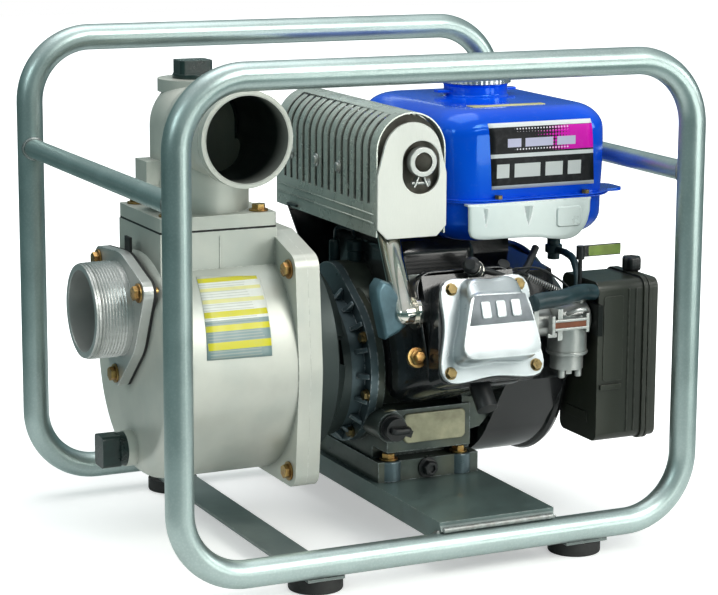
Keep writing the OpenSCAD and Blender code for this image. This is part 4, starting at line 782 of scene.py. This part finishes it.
# cast band and three plain bars near the upper edge of the crown
b = Build()
on_cover(b, [(-22, 25), (31, 23.5), (36.5, -3), (-31.5, -3)], (3, 10),
         ((0.98, 32.4), (0.98, 33.5), (0.965, 33.8)))
b.make("cover_band", "band")
b = Build()
for x in (-12.5, 3.0, 18.5):
    on_cover(b, rounded(x - 5, x + 5, BAR_Y - 8, BAR_Y + 8, 2.2, 4), (x, BAR_Y),
             ((1.0, 33.2), (1.0, 34.8), (0.86, 35.4)))
b.make("cover_bars", "cover", bevel=0.3)

# -------- thread and welds

port = mount("suction_port")
PORT_R = port["dims"]["r_mm"]
THREAD_TURNS, THREAD_PITCH, THREAD_STEPS = 10, 2.9, 40
thread_start = Vector((place("suction_nozzle").x0 + 2.0, port["pos_m"][1] * 1000, port["pos_m"][2] * 1000))
last = THREAD_TURNS * THREAD_STEPS
path = [thread_start + Vector((THREAD_PITCH * k / THREAD_STEPS,
                               PORT_R * cos(2 * pi * k / THREAD_STEPS),
                               PORT_R * sin(2 * pi * k / THREAD_STEPS))) for k in range(last + 1)]
depth = [0.3 + 0.85 * min(1.0, k / 12, (last - k) / 12) for k in range(last + 1)]
Build().sweep(path, depth, 4).make("suction_thread", "nozzle", smooth=False)

RIPPLE = 1.7  # millimetres between the ripples of a bead


def weld(b, path, size=2.0):
    """A rippled bead along a path."""
    pts = [Vector(p) for p in path]
    length = 0.0
    fine, radii = [], []
    for p, q in zip(pts, pts[1:]):
        steps = max(1, round((q - p).length / (RIPPLE / 2.5)))
        for k in range(steps):
            fine.append(p.lerp(q, k / steps))
            length += (q - p).length / steps
            radii.append(size * (1 + 0.13 * sin(2 * pi * length / RIPPLE)
                                 + rng.uniform(-0.05, 0.05)))
    fine.append(pts[-1])
    b.sweep(fine, [size * 0.6] + radii[1:] + [size * 0.6], 8)


TIE_R, TIE_Z = 9.7, place("cross_tubes").mz
b = Build()
for x in (-(hoop.x1 - TUBE_R), hoop.x1 - TUBE_R):
    for s in (-1, 1):
        ring = []
        for a in (radians(d) for d in range(0, 361, 10)):
            dx = TIE_R * cos(a)
            y = s * (HOOP_Y - sqrt(TUBE_R ** 2 - dx ** 2))
            ring.append((x + dx, y, TIE_Z + TIE_R * sin(a)))
        weld(b, ring)
for x in (deck.x0 - 0.6, deck.x1 + 0.6):
    for s in (-1, 1):
        weld(b, [(x, s * (HOOP_Y - TUBE_R * cos(a)), BAR_Z + TUBE_R * sin(a))
                 for a in (radians(d) for d in range(18, 92, 8))], 2.4)
for s in (-1, 1):
    weld(b, [(x, s * (HOOP_Y - 2.0), BAR_Z + TUBE_R + 0.6) for x in (deck.x0 + 4, deck.x1 - 4)])
for s in (-1, 1):
    for ends in ((-134, -102), (130, 170)):
        weld(b, [(x, s * (HOOP_Y - 6.5), place("foot_straps").z1 + 1.4) for x in ends])
b.make("weld_beads", "weld")

# -------- exhaust

# tail ring with its wire screen and clamp
TAIL_X, TAIL_Z = 30.0, 366.0
tail_y = muffler.y0 - 0.4
b = Build()
b.lathe([(9.2, 0.0), (13.6, 0.0), (14.1, 0.7), (14.1, 7.2), (13.4, 8.0), (12.1, 8.2), (12.1, 11), (9.2, 11)],
        (TAIL_X, muffler.y0 - 2.2, TAIL_Z), ALONG_Y, 40, hollow=True)
b.make("tail_ring", "zinc", bevel=0.3)
b = Build()
for k in range(-8, 9):
    c = k * 1.15
    h = sqrt(9.3 ** 2 - c ** 2)
    b.sweep([(TAIL_X + c, tail_y, TAIL_Z - h), (TAIL_X + c, tail_y, TAIL_Z + h)], 0.34, 5)
    b.sweep([(TAIL_X - h, tail_y + 0.45, TAIL_Z + c), (TAIL_X + h, tail_y + 0.45, TAIL_Z + c)], 0.34, 5)
b.lathe(disc(9.6, 0.6), (TAIL_X, tail_y + 1.2, TAIL_Z), ALONG_Y, 32)
b.make("tail_screen", "soot")
b = Build()
for s in (-1, 1):
    b.rings([[(TAIL_X + s * (2.2 + w) + dx, tail_y + dy, TAIL_Z + z)
              for dx, dy in ((-0.8, 2.5), (0.8, 2.5), (0.8, 9), (-0.8, 9))]
             for w, z in ((0.0, -12.5), (2.4, -19), (5.0, -24))])
b.sweep([(TAIL_X + x, tail_y + 6, TAIL_Z - 20.5) for x in (-9, 9)], 1.9, 12)
b.lathe(disc(4.0, 3.4), (TAIL_X + 6, tail_y + 6, TAIL_Z - 20.5), ALONG_X, 6)
b.make("tail_clamp", "zinc", bevel=0.2)

# guard screws and the two pressed beads along its lower edge
screws, beads = Build(), Build()
for y in (0, 52, 112):
    for s, x in ((-1, guard.x0), (1, guard.x1)):
        screws.lathe([(0.3, 0.2), (6.6, 0.2), (6.2, 0.9), (4.4, 0.3), (4.2, 2.6), (3.4, 3.2), (0.3, 3.2)],
                     (x, y, 352), (s, 0, 0), 24)
for s, x in ((-1, guard.x0), (1, guard.x1)):
    for z in (309, 317):
        beads.sweep([(x + s * 0.1, y, z) for y in (guard.y0 + 5, guard.y1 - 5)], 0.9, 8)
screws.make("guard_screws", "zinc")
beads.make("guard_beads", "guard")

# shield under the tank: a pressed plate with a soft lower edge, a top flange, two darts and a pad
shield = place("tank_shield")
lower_edge = ((76.5, 298), (80, 291.5), (92, 289), (120, 288.6), (150, 287.6), (168, 284.8), (184, 283.6),
              (196, 287.5), (205, 298), (208.6, 310))
lower_edge = smooth_path([(x, z, 0) for x, z in lower_edge], 5)
plan = [(76.0, 322.5)] + [(p.x, p.y) for p in lower_edge] + [(209.0, 322.5)]
b = Build()
plate_levels = ((1.0, 3.6), (1.0, 2.4), (0.985, 1.2), (0.95, 0.7), (0.80, 0.4))
b.prism("y", plan, [(s, shield.y0 + y) for s, y in plate_levels], (142.0, 306.0))
b.box((75.0, shield.y0 + 1.5, 321.4), (209.0, -90.2, 323.4))
for x, w, d in ((140, 6.0, 2.6), (94, 3.5, 1.6)):
    b.rings([[(x + w * k * f, shield.y0 + 0.8 - d * f * (1 - abs(k)), z) for k in (-1, 0, 1)]
             + [(x, shield.y0 + 1.6, z)] for f, z in ((1.0, 319), (0.6, 308), (0.1, 299))])
b.prism("y", rounded(170, 198, 296, 316, 4, 4),
        [(s, shield.y0 + y) for s, y in ((1.0, 1.0), (1.0, 0.2), (0.9, -0.9))], (184, 306))
b.make("shield_plate", "white", bevel=0.4, replaces=["tank_shield"])

# leaning hood in front of the exhaust port, and the screw of the cowl below it
HOOD = [(-21, 206), (-6, 212), (4, 219), (4, 232), (-3, 244), (-12, 258), (-20, 261), (-26, 254), (-27, 246)]
HOOD_LEAN = 0.2


def hood_ring(scale, y):
    flat = [(-11 + (x + 11) * scale, 234 + (z - 234) * scale) for x, z in HOOD]
    return [(x, y + (z - 186) * HOOD_LEAN, z) for x, z in flat]


b = Build()
b.rings([hood_ring(*level) for level in ((1.0, -108), (1.0, -122), (0.93, -125.5), (0.80, -126.6))])
b.make("port_hood", "hood", bevel=1.2)
b = Build()
for profile, n in (([(0.4, 0), (7.4, 0), (7.4, 1.6), (5.4, 2.2), (5.4, 7.2), (4.6, 8), (0.4, 8)], 6),
                   ([(0.4, -6), (8.6, -6), (9.6, -1), (9.6, 0), (0.4, 0)], 28)):
    b.lathe(profile, head(-58, -20, 152), BORE_AXIS, n)
b.make("hood_screw", "gold", bevel=0.3)

# -------- engine

# gusset on the right of the crankcase
b = Build()
b.prism("y", [(86, 96), (106, 100), (130, 124), (133, 132), (128, 136), (86, 136)], (-69.5, -60))
b.lathe([(0.4, 0), (9, 0), (9, 5), (7.5, 6.5), (5, 6.8), (0.4, 6.8)], (116, -69, 128), FORWARD, 28)
b.make("case_gusset", "case", bevel=1.2)

# plug boot, its lead and its two rings
boot = head(8, 56, 163)
BOOT_AXIS = (-0.55, -0.62, 0.45)
b = Build()
b.lathe([(0.4, -16), (8.5, -16), (9.0, -6), (9.0, 2), (7.4, 3.2), (7.4, 8), (8.4, 9.4), (8.4, 13), (5, 16),
         (0.4, 16.4)], boot, BOOT_AXIS, 32)
lead = ((0, 0, 0), (14, 3, -3), (38, 4, -10), (62, 14, -8), (84, 32, 10))
b.sweep(smooth_path([boot + Vector(p) for p in lead], 10), 3.6)
b.make("plug_boot", "plastic", bevel=0.3)
b = Build()
b.lathe(disc(9.7, 2.8, -3.2, 8.8), boot, BOOT_AXIS, 32, hollow=True)
b.lathe(disc(8.0, 2.1, 4.5, 7.2), boot, BOOT_AXIS, 32, hollow=True)
b.make("boot_rings", "chrome")

# black sleeve round the cylinder fins, open at both ends
b = Build()
sleeve_levels = ((0, 64), (2.2, 64), (2.6, 90), (2.2, 130), (2.6, 152), (1.2, 157), (-0.4, 157), (0, 130),
                 (0, 64))
b.rings([[head(x, y, z) for x, y in rounded(-50 - g, 53 + g, -51 - g, 57 + g, 17 + g, 6)]
         for g, z in sleeve_levels], close_ends=False)
for x in (-30, 0, 30):
    b.sweep([head(x, -53.4, z) for z in (72, 84, 146)], 1.3, 8)
b.make("cylinder_sleeve", "black", bevel=0.6)

# top cowl under the tank, the bracket behind it and the small parts standing on it
b = Build()
b.rings([[(x, y, z) for x, y in rounded(24 - g, 116 + g, -44 - g, 108 + g, 14 + g, 6)]
         for g, z in ((-2, 232), (0, 236), (0, 268), (-3, 276), (-9, 281))])
b.make("top_cowl", "black", bevel=0.8)
b = Build()
b.prism("y", [(-17, 300), (60, 300), (96, 262), (96, 216), (24, 216), (9, 228)], (116, 118.5))
b.prism("y", [(-17, 298.5), (60, 298.5), (60, 301), (-17, 301)], (96, 118))
b.make("silencer_bracket", "black", bevel=0.5)
b = Build()
b.lathe([(0.4, 0), (7.5, 0), (7.5, 34), (6.6, 36), (8.2, 37), (8.2, 46), (6.0, 48), (0.4, 48)],
        (20, 34, 226), UP, 28)
b.lathe([(0.4, 0), (5.5, 0), (5.5, 22), (4.5, 24), (0.4, 24)], (6, 52, 248), UP, 24)
b.sweep(smooth_path([(20, 34, 272), (14, 30, 284), (2, 38, 286), (6, 52, 272)], 8), 1.6, 8)
b.make("side_fittings", "fitting", bevel=0.4)

# rolled outer rim of the fan housing
b = Build()
b.lathe([(84, 181), (99, 180), (104.5, 183), (106, 187), (104, 191.5), (98, 194), (87, 194), (83, 190)],
        (0, crank[1], crank[2]), ALONG_X, 96, hollow=True)
b.make("fan_rim", "black", bevel=0.5)

# -------- carburettor and its linkage

# throttle arm with its pivot, nut and link rod
b = Build()
b.rings([[Vector(p) + Vector(o) for o in ((0, -4, 0), (0, 4, 0), (1.5, 4, 2), (1.5, -4, 2))]
         for p in ((112, -96, 262), (126, -112, 256), (140, -120, 248), (154, -124, 240))])
b.lathe(disc(6, 5), (112, -100, 262), (0, -0.6, 0.8), 20)
b.lathe(disc(4.4, 6), (154, -126, 238), (0, -0.6, 0.8), 6)
b.sweep(smooth_path([(118, -112, 262), (140, -122, 262), (165, -128, 246), (170, -128, 236)], 8), 1.1, 8)
b.make("throttle_arm", "plastic", bevel=0.4)
b = Build()
spring_from, spring_to = Vector((128, -120, 255)), Vector((166, -132, 236))
COIL_STEPS, COIL_ANGLE, COIL_R = 220, 0.55, 2.6
axis = (spring_to - spring_from).normalized()
u = axis.orthogonal().normalized()
w = axis.cross(u)
b.sweep([spring_from.lerp(spring_to, k / COIL_STEPS)
         + (u * cos(k * COIL_ANGLE) + w * sin(k * COIL_ANGLE)) * COIL_R
         for k in range(COIL_STEPS + 1)], 0.5, 6)
b.make("throttle_spring", "zinc", slot="steel")

# bracket with its brown spacer, bowl clip, bowl screws, and the fuel line from the tap
inlet = head(0, 4, 148)
BOWL_X = 171
b = Build()
for x0, x1, y0, y1, z0, z1 in ((139, 142.5, -27.5, -20, -9, 9), (176, 179.5, -27.5, -20, -9, 9),
                               (142, 177, -28, -23, 2.6, 5.2), (142, 177, -28, -23, -5.6, -3),
                               (136, 146, -25, -21, -12, -8)):
    b.box((x0, inlet.y + y0, inlet.z + z0), (x1, inlet.y + y1, inlet.z + z1))
b.make("carb_bracket", "zinc", slot="zinc_casting", bevel=0.5)
b = Build()
b.box((142, inlet.y - 27, inlet.z - 3.2), (177, inlet.y - 24, inlet.z + 2.8))
b.make("carb_spacer", "brown", bevel=0.3)
b = Build()
b.lathe(disc(20.2, 2.5, -33, 18.8), (BOWL_X, inlet.y, inlet.z), UP, 40, hollow=True)
for dx in (-9, 9):
    b.lathe([(0.3, -56.5), (2.6, -56.5), (3.4, -55.5), (3.4, -48), (0.3, -48)],
            (BOWL_X + dx, inlet.y - 7, inlet.z), UP, 16)
clip = ((160, -18, 8), (166, -24, 12), (176, -24, 12), (182, -18, 8))
b.sweep(smooth_path([(x, inlet.y + y, inlet.z + z) for x, y, z in clip], 8), 2.2, 10)
b.make("carb_fittings", "zinc", slot="zinc_casting", bevel=0.3)
fuel_line = smooth_path([(TAP.x, -74, 266), (194, -92, 262), (188, -112, 246), (182, -118, 230),
                         (178, inlet.y, inlet.z + 12)], 12)
Build().sweep(fuel_line, 3.6).make("fuel_line", "hose")

# breather hose with a slight sag
hose_from, hose_to = Vector((112.5, -161, 238)), Vector((192.8, -133, 236.5))
sag = [hose_from.lerp(hose_to, t) + Vector((0, y, z))
       for t, y, z in ((0, 0, 0), (0.12, -1, 1.2), (0.4, -4, 1.5), (0.75, -1.5, 3.0), (1, 0, 0.6))]
Build().sweep(smooth_path(sag, 12), 7.8, 20).make("breather_tube", "hose", replaces=["breather_hose"])

# -------- air cleaner


def parting_ring(b, x0, x1, y0, y1, z0, z1):
    """Raised band round a box section, from x0 to x1."""
    outer = rounded(y0 - 2, y1 + 2, z0 - 2, z1 + 2, 11, 6)
    inner = rounded(y0 + 1, y1 - 1, z0 + 1, z1 - 1, 8, 6)
    b.rings([[(x, y, z) for y, z in line]
             for x, line in ((x0, inner), (x0, outer), (x1, outer), (x1, inner), (x0, inner))],
            close_ends=False)


def cross_rib(b, x0, x1, y0, y1, z, half):
    b.prism("x", [(y0, z - half), (y1, z - half), (y1, z + half), (y0, z + half)], (x0, x1))


b = Build()
parting_ring(b, case.x1 - 5.0, case.x1 - 0.4, case.y0, case.y1, case.z0, case.z1)
b.prism("y", rounded(case.x0 + 6, case.x0 + 28, case.z0 + 60, case.z1 - 14, 3, 4),
        (case.y0 + 0.5, case.y0 - 0.9))
b.box((case.x0 + 3, case.y0 - 2.6, case.z0 + 52), (case.x0 + 26, case.y0 + 1, case.z0 + 57))
for x in (case.x0 + 34, case.x0 + 42):
    b.sweep([(x, case.y0 - 0.1, z) for z in (case.z0 + 8, case.z1 - 8)], 1.1, 8)
for z in (case.z0 + 22, case.z1 - 30):
    cross_rib(b, case.x0 + 0.4, case.x0 - 1.2, case.y0 + 16, case.y1 - 14, z, 5)
b.make("case_ribs", "olive", bevel=0.6)
b = Build()
parting_ring(b, lid.x0 + 0.4, lid.x0 + 3.6, lid.y0, lid.y1, lid.z0, case.z1)
for z in (115, 150, 185, 220):
    cross_rib(b, lid.x1 - 0.2, lid.x1 + 1.1, lid.y0 + 20, lid.y1 - 20, z, 2)
b.box((lid.x0 + 3.0, lid.my - 9, lid.z0 - 5.0), (lid.x1 - 5, lid.my + 9, lid.z0 + 1))
b.make("cover_ribs", "olive", body="air_cleaner_cover", bevel=0.6)

# knob with six lobes
knob = place("cover_knob")


def lobes(scale, z):
    reach = (knob.x1 - knob.x0) / 2 * scale
    return [(knob.mx + reach * (0.93 + 0.07 * cos(6 * a)) * cos(a),
             knob.my + reach * (0.93 + 0.07 * cos(6 * a)) * sin(a), z) for a in circle_angles(72)]


b = Build()
rises = ((0.72, 0), (0.74, 2), (0.94, 3.2), (1.0, 5))
drops = ((1.0, 3), (0.95, 1.2), (0.84, 0.2), (0.5, 0.1), (0.42, 1.2), (0.1, 1.4))
b.rings([lobes(scale, knob.z0 + rise) for scale, rise in rises]
        + [lobes(scale, knob.z1 - drop) for scale, drop in drops])
b.make("knob_lobes", "plastic", body="cover_knob", replaces=["cover_knob"])

# tag on the choke lever
choke = place("choke_lever")
tag = rounded(choke.x0 + 12, choke.x1 - 0.3, choke.z1 - 10.2, choke.z1 - 0.6, 2, 4)
b = Build()
for y0, y1 in ((-1.9, -1.1), (1.1, 1.9)):
    b.prism("y", tag, (choke.my + y0, choke.my + y1))
b.make("choke_tag", "tag", body="choke_lever", bevel=0.3)

# -------- crankcase front

b = Build()
b.prism("y", rounded(22, 88, 92, 121, 5, 5), [(1, -71.0), (1, -73.4), (0.97, -74.2)], (55, 106))
b.make("sump_panel", "panel", bevel=0.6)
b = Build()
for x in (17.25, 92.75):
    b.lathe([(0.4, 0.2), (12.5, 0.2), (12.5, 19.2), (11.5, 20.0), (8.9, 20.0), (8.9, 19), (0.4, 19)],
            (x, -50, 51.5), UP, 36)
b.make("base_bosses", "side", bevel=0.5)
b = Build()
b.lathe([(0.3, 0), (9.5, 0), (9.5, 1.6), (7.6, 1.8), (7.6, 8), (6.6, 9), (4.2, 9), (4.2, 6.5), (0.3, 6.5)],
        (55, -59.5, 62), FORWARD, 6)
b.lathe(disc(10.2, 1.8), (55, -59.2, 62), FORWARD, 32)
b.make("oil_drain_screw", "plastic", bevel=0.3)

# webs on the side cover
b = Build()
for a in (radians(deg) for deg in range(100, 261, 20)):
    out_of = Vector((0, cos(a), sin(a)))
    hub, along = Vector((0, crank[1], crank[2])), out_of.cross(Vector(ALONG_X))
    web = [hub + out_of * r + Vector((x, 0, 0)) for r, x in ((66, -8.3), (66, -18), (76, -9.6), (76, -8.3))]
    b.rings([[p + along * t for p in web] for t in (-2.4, 2.4)])
b.make("cover_webs", "side", slot="silver_paint", bevel=0.6)

# grip across the oil filler cap, and the collar round it
oil = place("oil_cap")
b = Build()
b.prism("y", rounded(oil.mx - 10.5, oil.mx + 10.5, oil.mz - 3.2, oil.mz + 3.2, 3, 5),
        [(s, oil.y0 + y) for s, y in ((1.05, 2), (1.0, -4), (0.9, -6.4), (0.7, -7.2))], (oil.mx, oil.mz))
b.make("oil_cap_grip", "plastic", body="oil_cap")
b = Build()
b.lathe([(12.6, 0), (15.4, 0), (16, -0.8), (16, -4.2), (12.6, -4.2)], (oil.mx, oil.y1 - 1.0, oil.mz),
        ALONG_Y, 40, hollow=True)
b.make("oil_filler_collar", "panel", bevel=0.4)

# silencer ends behind the guard, so that the slots open on dark metal
ARCH_X, ARCH_Z, ARCH_R = 22, 376, 33.0
arch = [(ARCH_X + ARCH_R * cos(a), ARCH_Z + ARCH_R * sin(a))
        for a in (radians(d) for d in range(0, 181, 9))]
arch += [(ARCH_X - ARCH_R, 334.0), (ARCH_X + ARCH_R, 334.0)]
b = Build()
b.prism("y", arch, (-77.0, -75.6))
b.prism("y", [(x, z if z > 335 else 300.0) for x, z in arch], (144.0, 146.0))
b.make("silencer_ends", "soot", bevel=0.4)

# lip where the deck laps over the front and rear bars, with its bead
lip, bead = Build(), Build()
for s in (-1, 1):
    lap = [(183, 51.2), (196, 51.2), (201, 48.4), (204, 43.6), (201, 41.0), (183, 41.0)]
    lip.prism("x", [(s * y, z) for y, z in lap], (deck.x0 + 0.4, deck.x1 - 0.4))
    weld(bead, [(x, s * 203.6, 44.4) for x in (deck.x0 + 2, deck.x1 - 2)], 2.6)
lip.make("deck_lip", "strap", bevel=0.6)
bead.make("deck_bead", "weld", slot="painted_steel")

# -------- pump

# parting line of the casting, and the ring round the outlet
outlet = Vector(mount("delivery_port")["pos_m"]) * 1000
b = Build()
b.prism("z", [(-152.6, -39.9), (-151.4, -39.9), (-151.4, -40.6), (-152.6, -40.6)], (268, 300))
b.lathe([(43.9, 9.4), (44.6, 9.6), (44.6, 10.6), (43.9, 10.8)], outlet - Vector((0, 13, 0)), ALONG_Y, 72,
        hollow=True)
b.make("casting_lines", "cast", bevel=0.15)

# label: a plain two-tone card wrapped on the drum; its corners are a place along it and an angle round it
DRUM_Y, DRUM_Z, DRUM_R = 15.0, 175.0, 110.25
LABEL_TOP, LABEL_FOOT = ((-178.7, 34.7), (-119.0, 37.3)), ((-186.3, 78.5), (-122.8, 79.1))


def label_look():
    """Pale card with faint stripes above a grey band that carries plain yellow bars."""
    n = Nodes("pump_label")
    p = n.position()
    across = n.math("SUBTRACT", DRUM_Y * mm, p["Y"])
    rise = n.math("SUBTRACT", p["Z"], DRUM_Z * mm)
    v = n.ramp(n.math("ARCTAN2", across, rise), radians(36), radians(79))
    u = n.ramp(p["X"], -0.186, -0.119)
    color = n.mix(n.math("GREATER_THAN", v, 0.56), (0.84, 0.86, 0.80), (0.24, 0.34, 0.34))
    rules = n.below(n.math("FRACT", n.times(v, 30.0)), 0.33)
    rules = n.times(n.times(rules, 0.55), n.band(u, 0.05, n.ramp(n.noise(30.0), 0.4, 0.6, 0.7, 0.95)))
    color = n.mix(rules, color, (0.50, 0.52, 0.44))
    strong, faint = (0.72, 0.66, 0.03), (0.84, 0.80, 0.36)
    for low, high, tone in ((0.01, 0.075, strong), (0.155, 0.20, faint), (0.305, 0.355, faint),
                            (0.455, 0.525, strong), (0.615, 0.685, strong), (0.805, 0.89, strong)):
        color = n.mix(n.times(n.band(v, low, high), n.band(u, 0.03, 0.97)), color, tone)
    color = n.mix(n.ramp(n.noise(90.0, 6.0), 0.5, 0.8, 0.0, 0.25), color, (0.5, 0.5, 0.45))
    return n.printed(color, 60.0, (0.3, 0.5), 300.0, 0.06)


def label_point(s, t, side):
    top, foot = (Vector(a).lerp(Vector(b), s) for a, b in (LABEL_TOP, LABEL_FOOT))
    x, deg = foot.lerp(top, t)
    a, r = radians(deg), DRUM_R - 0.1 if side else DRUM_R + 0.3
    return x, DRUM_Y - r * sin(a), DRUM_Z + r * cos(a)


Build().card(label_point, 8, 20).make("pump_label", label_look(), slot="cast_aluminium")

# -------- stage, light, camera

FLOOR = 6.0
floor = bpy.data.meshes.new("floor")
floor.from_pydata([(-FLOOR, -FLOOR, 0), (FLOOR, -FLOOR, 0), (FLOOR, FLOOR, 0), (-FLOOR, FLOOR, 0)], [],
                  [(0, 1, 2, 3)])


def floor_look():
    """Matt white sweep that glows a little towards the camera and fades to plain white far away."""
    n = Nodes("floor_paint")
    color = n.mix(n.noise(3.0), (0.88, 0.88, 0.87), (0.92, 0.92, 0.91))
    p = n.position()
    far = n.length(p["X"], p["Y"])
    camera_ray = n.add("ShaderNodeLightPath").outputs["Is Camera Ray"]
    glow = n.ramp(far, 0.30, 0.75, 0.42, 1.0)
    dim = n.times(n.ramp(far, 0.40, 0.85), n.math("SUBTRACT", 1.0, camera_ray))
    return n.paint(Base_Color=n.mix(dim, color, (0.075, 0.14, 0.14)), Roughness=0.8,
                   Normal=n.bump(n.noise(90.0), 0.02, 0.0005), Emission_Color=(1, 1, 1),
                   Emission_Strength=n.times(glow, camera_ray))


floor.materials.append(floor_look())
add_object("floor", floor)


def studio():
    """White to the camera; for reflections a pale sky above a dark teal horizon."""
    world = bpy.data.worlds.new("studio")
    world.use_nodes = True
    tree = world.node_tree
    add, link = tree.nodes.new, tree.links.new
    direction = add("ShaderNodeSeparateXYZ")
    link(add("ShaderNodeNewGeometry").outputs["Incoming"], direction.inputs[0])
    height = add("ShaderNodeMapRange")
    height.inputs[1].default_value, height.inputs[2].default_value = 1.0, -1.0
    link(direction.outputs["Z"], height.inputs[0])
    sky = add("ShaderNodeValToRGB")
    link(height.outputs[0], sky.inputs[0])
    stops = sky.color_ramp.elements
    stops[0].color, stops[1].color = (0.6, 0.6, 0.58, 1), (0.75, 0.77, 0.77, 1)
    for at, color in ((0.46, (0.30, 0.37, 0.36)), (0.52, (0.04, 0.085, 0.085)), (0.64, (0.13, 0.22, 0.22)),
                      (0.80, (0.36, 0.42, 0.42))):
        stops.new(at).color = (*color, 1)
    seen = add("ShaderNodeMix")
    seen.data_type = "RGBA"
    link(add("ShaderNodeLightPath").outputs["Is Camera Ray"], seen.inputs[0])
    link(sky.outputs[0], seen.inputs[6])
    seen.inputs[7].default_value = (1.0, 1.0, 1.0, 1)
    link(seen.outputs[2], tree.nodes["Background"].inputs[0])
    return world


bpy.context.scene.world = studio()


def area(name, at, target, size, power, color=(1, 1, 1), size_y=None):
    light = bpy.data.lights.new(name, "AREA")
    light.shape = "RECTANGLE"
    light.size, light.size_y = size, size_y or size
    light.energy = power
    light.color = color
    obj = add_object(name, light)
    obj.location = at
    obj.rotation_euler = (Vector(target) - Vector(at)).to_track_quat("-Z", "Y").to_euler()


area("key", (0.9, -2.3, 2.0), (0, 0, 0.2), 1.3, 44, (1.0, 0.985, 0.94))
area("left", (-2.6, -0.9, 1.6), (0, 0, 0.25), 0.7, 9, (0.90, 1.0, 1.0))
area("right", (2.3, -1.3, 1.0), (0.1, 0, 0.25), 0.8, 11, (1.0, 0.98, 0.95))
area("card", (1.15, -2.0, 0.20), (0, 0, 0.27), 1.3, 8, (1.0, 1.0, 0.95), size_y=0.5)
area("top", (0.0, 0.3, 2.6), (0, 0, 0.2), 1.8, 20)

AZIMUTH, PITCH, ROLL = radians(26.98), radians(10.95), radians(0.61)
CAMERA_AT = (-0.9577, -2.0565, 0.6750)
forward = Vector((sin(AZIMUTH) * cos(PITCH), cos(AZIMUTH) * cos(PITCH), -sin(PITCH)))
level = Vector((cos(AZIMUTH), -sin(AZIMUTH), 0))
upward = level.cross(forward)
across = level * cos(ROLL) + upward * sin(ROLL)
upright = upward * cos(ROLL) - level * sin(ROLL)
lens = bpy.data.cameras.new("camera")
lens.sensor_width = 36.0
lens.lens = 119.6
lens.shift_x, lens.shift_y = -0.1035, -0.0174
camera = add_object("camera", lens)
camera.matrix_world = Matrix((*zip(across, upright, -forward, CAMERA_AT), (0, 0, 0, 1)))
bpy.context.scene.camera = camera
bpy.context.scene.view_settings.view_transform = "Standard"

bpy.context.view_layer.update()
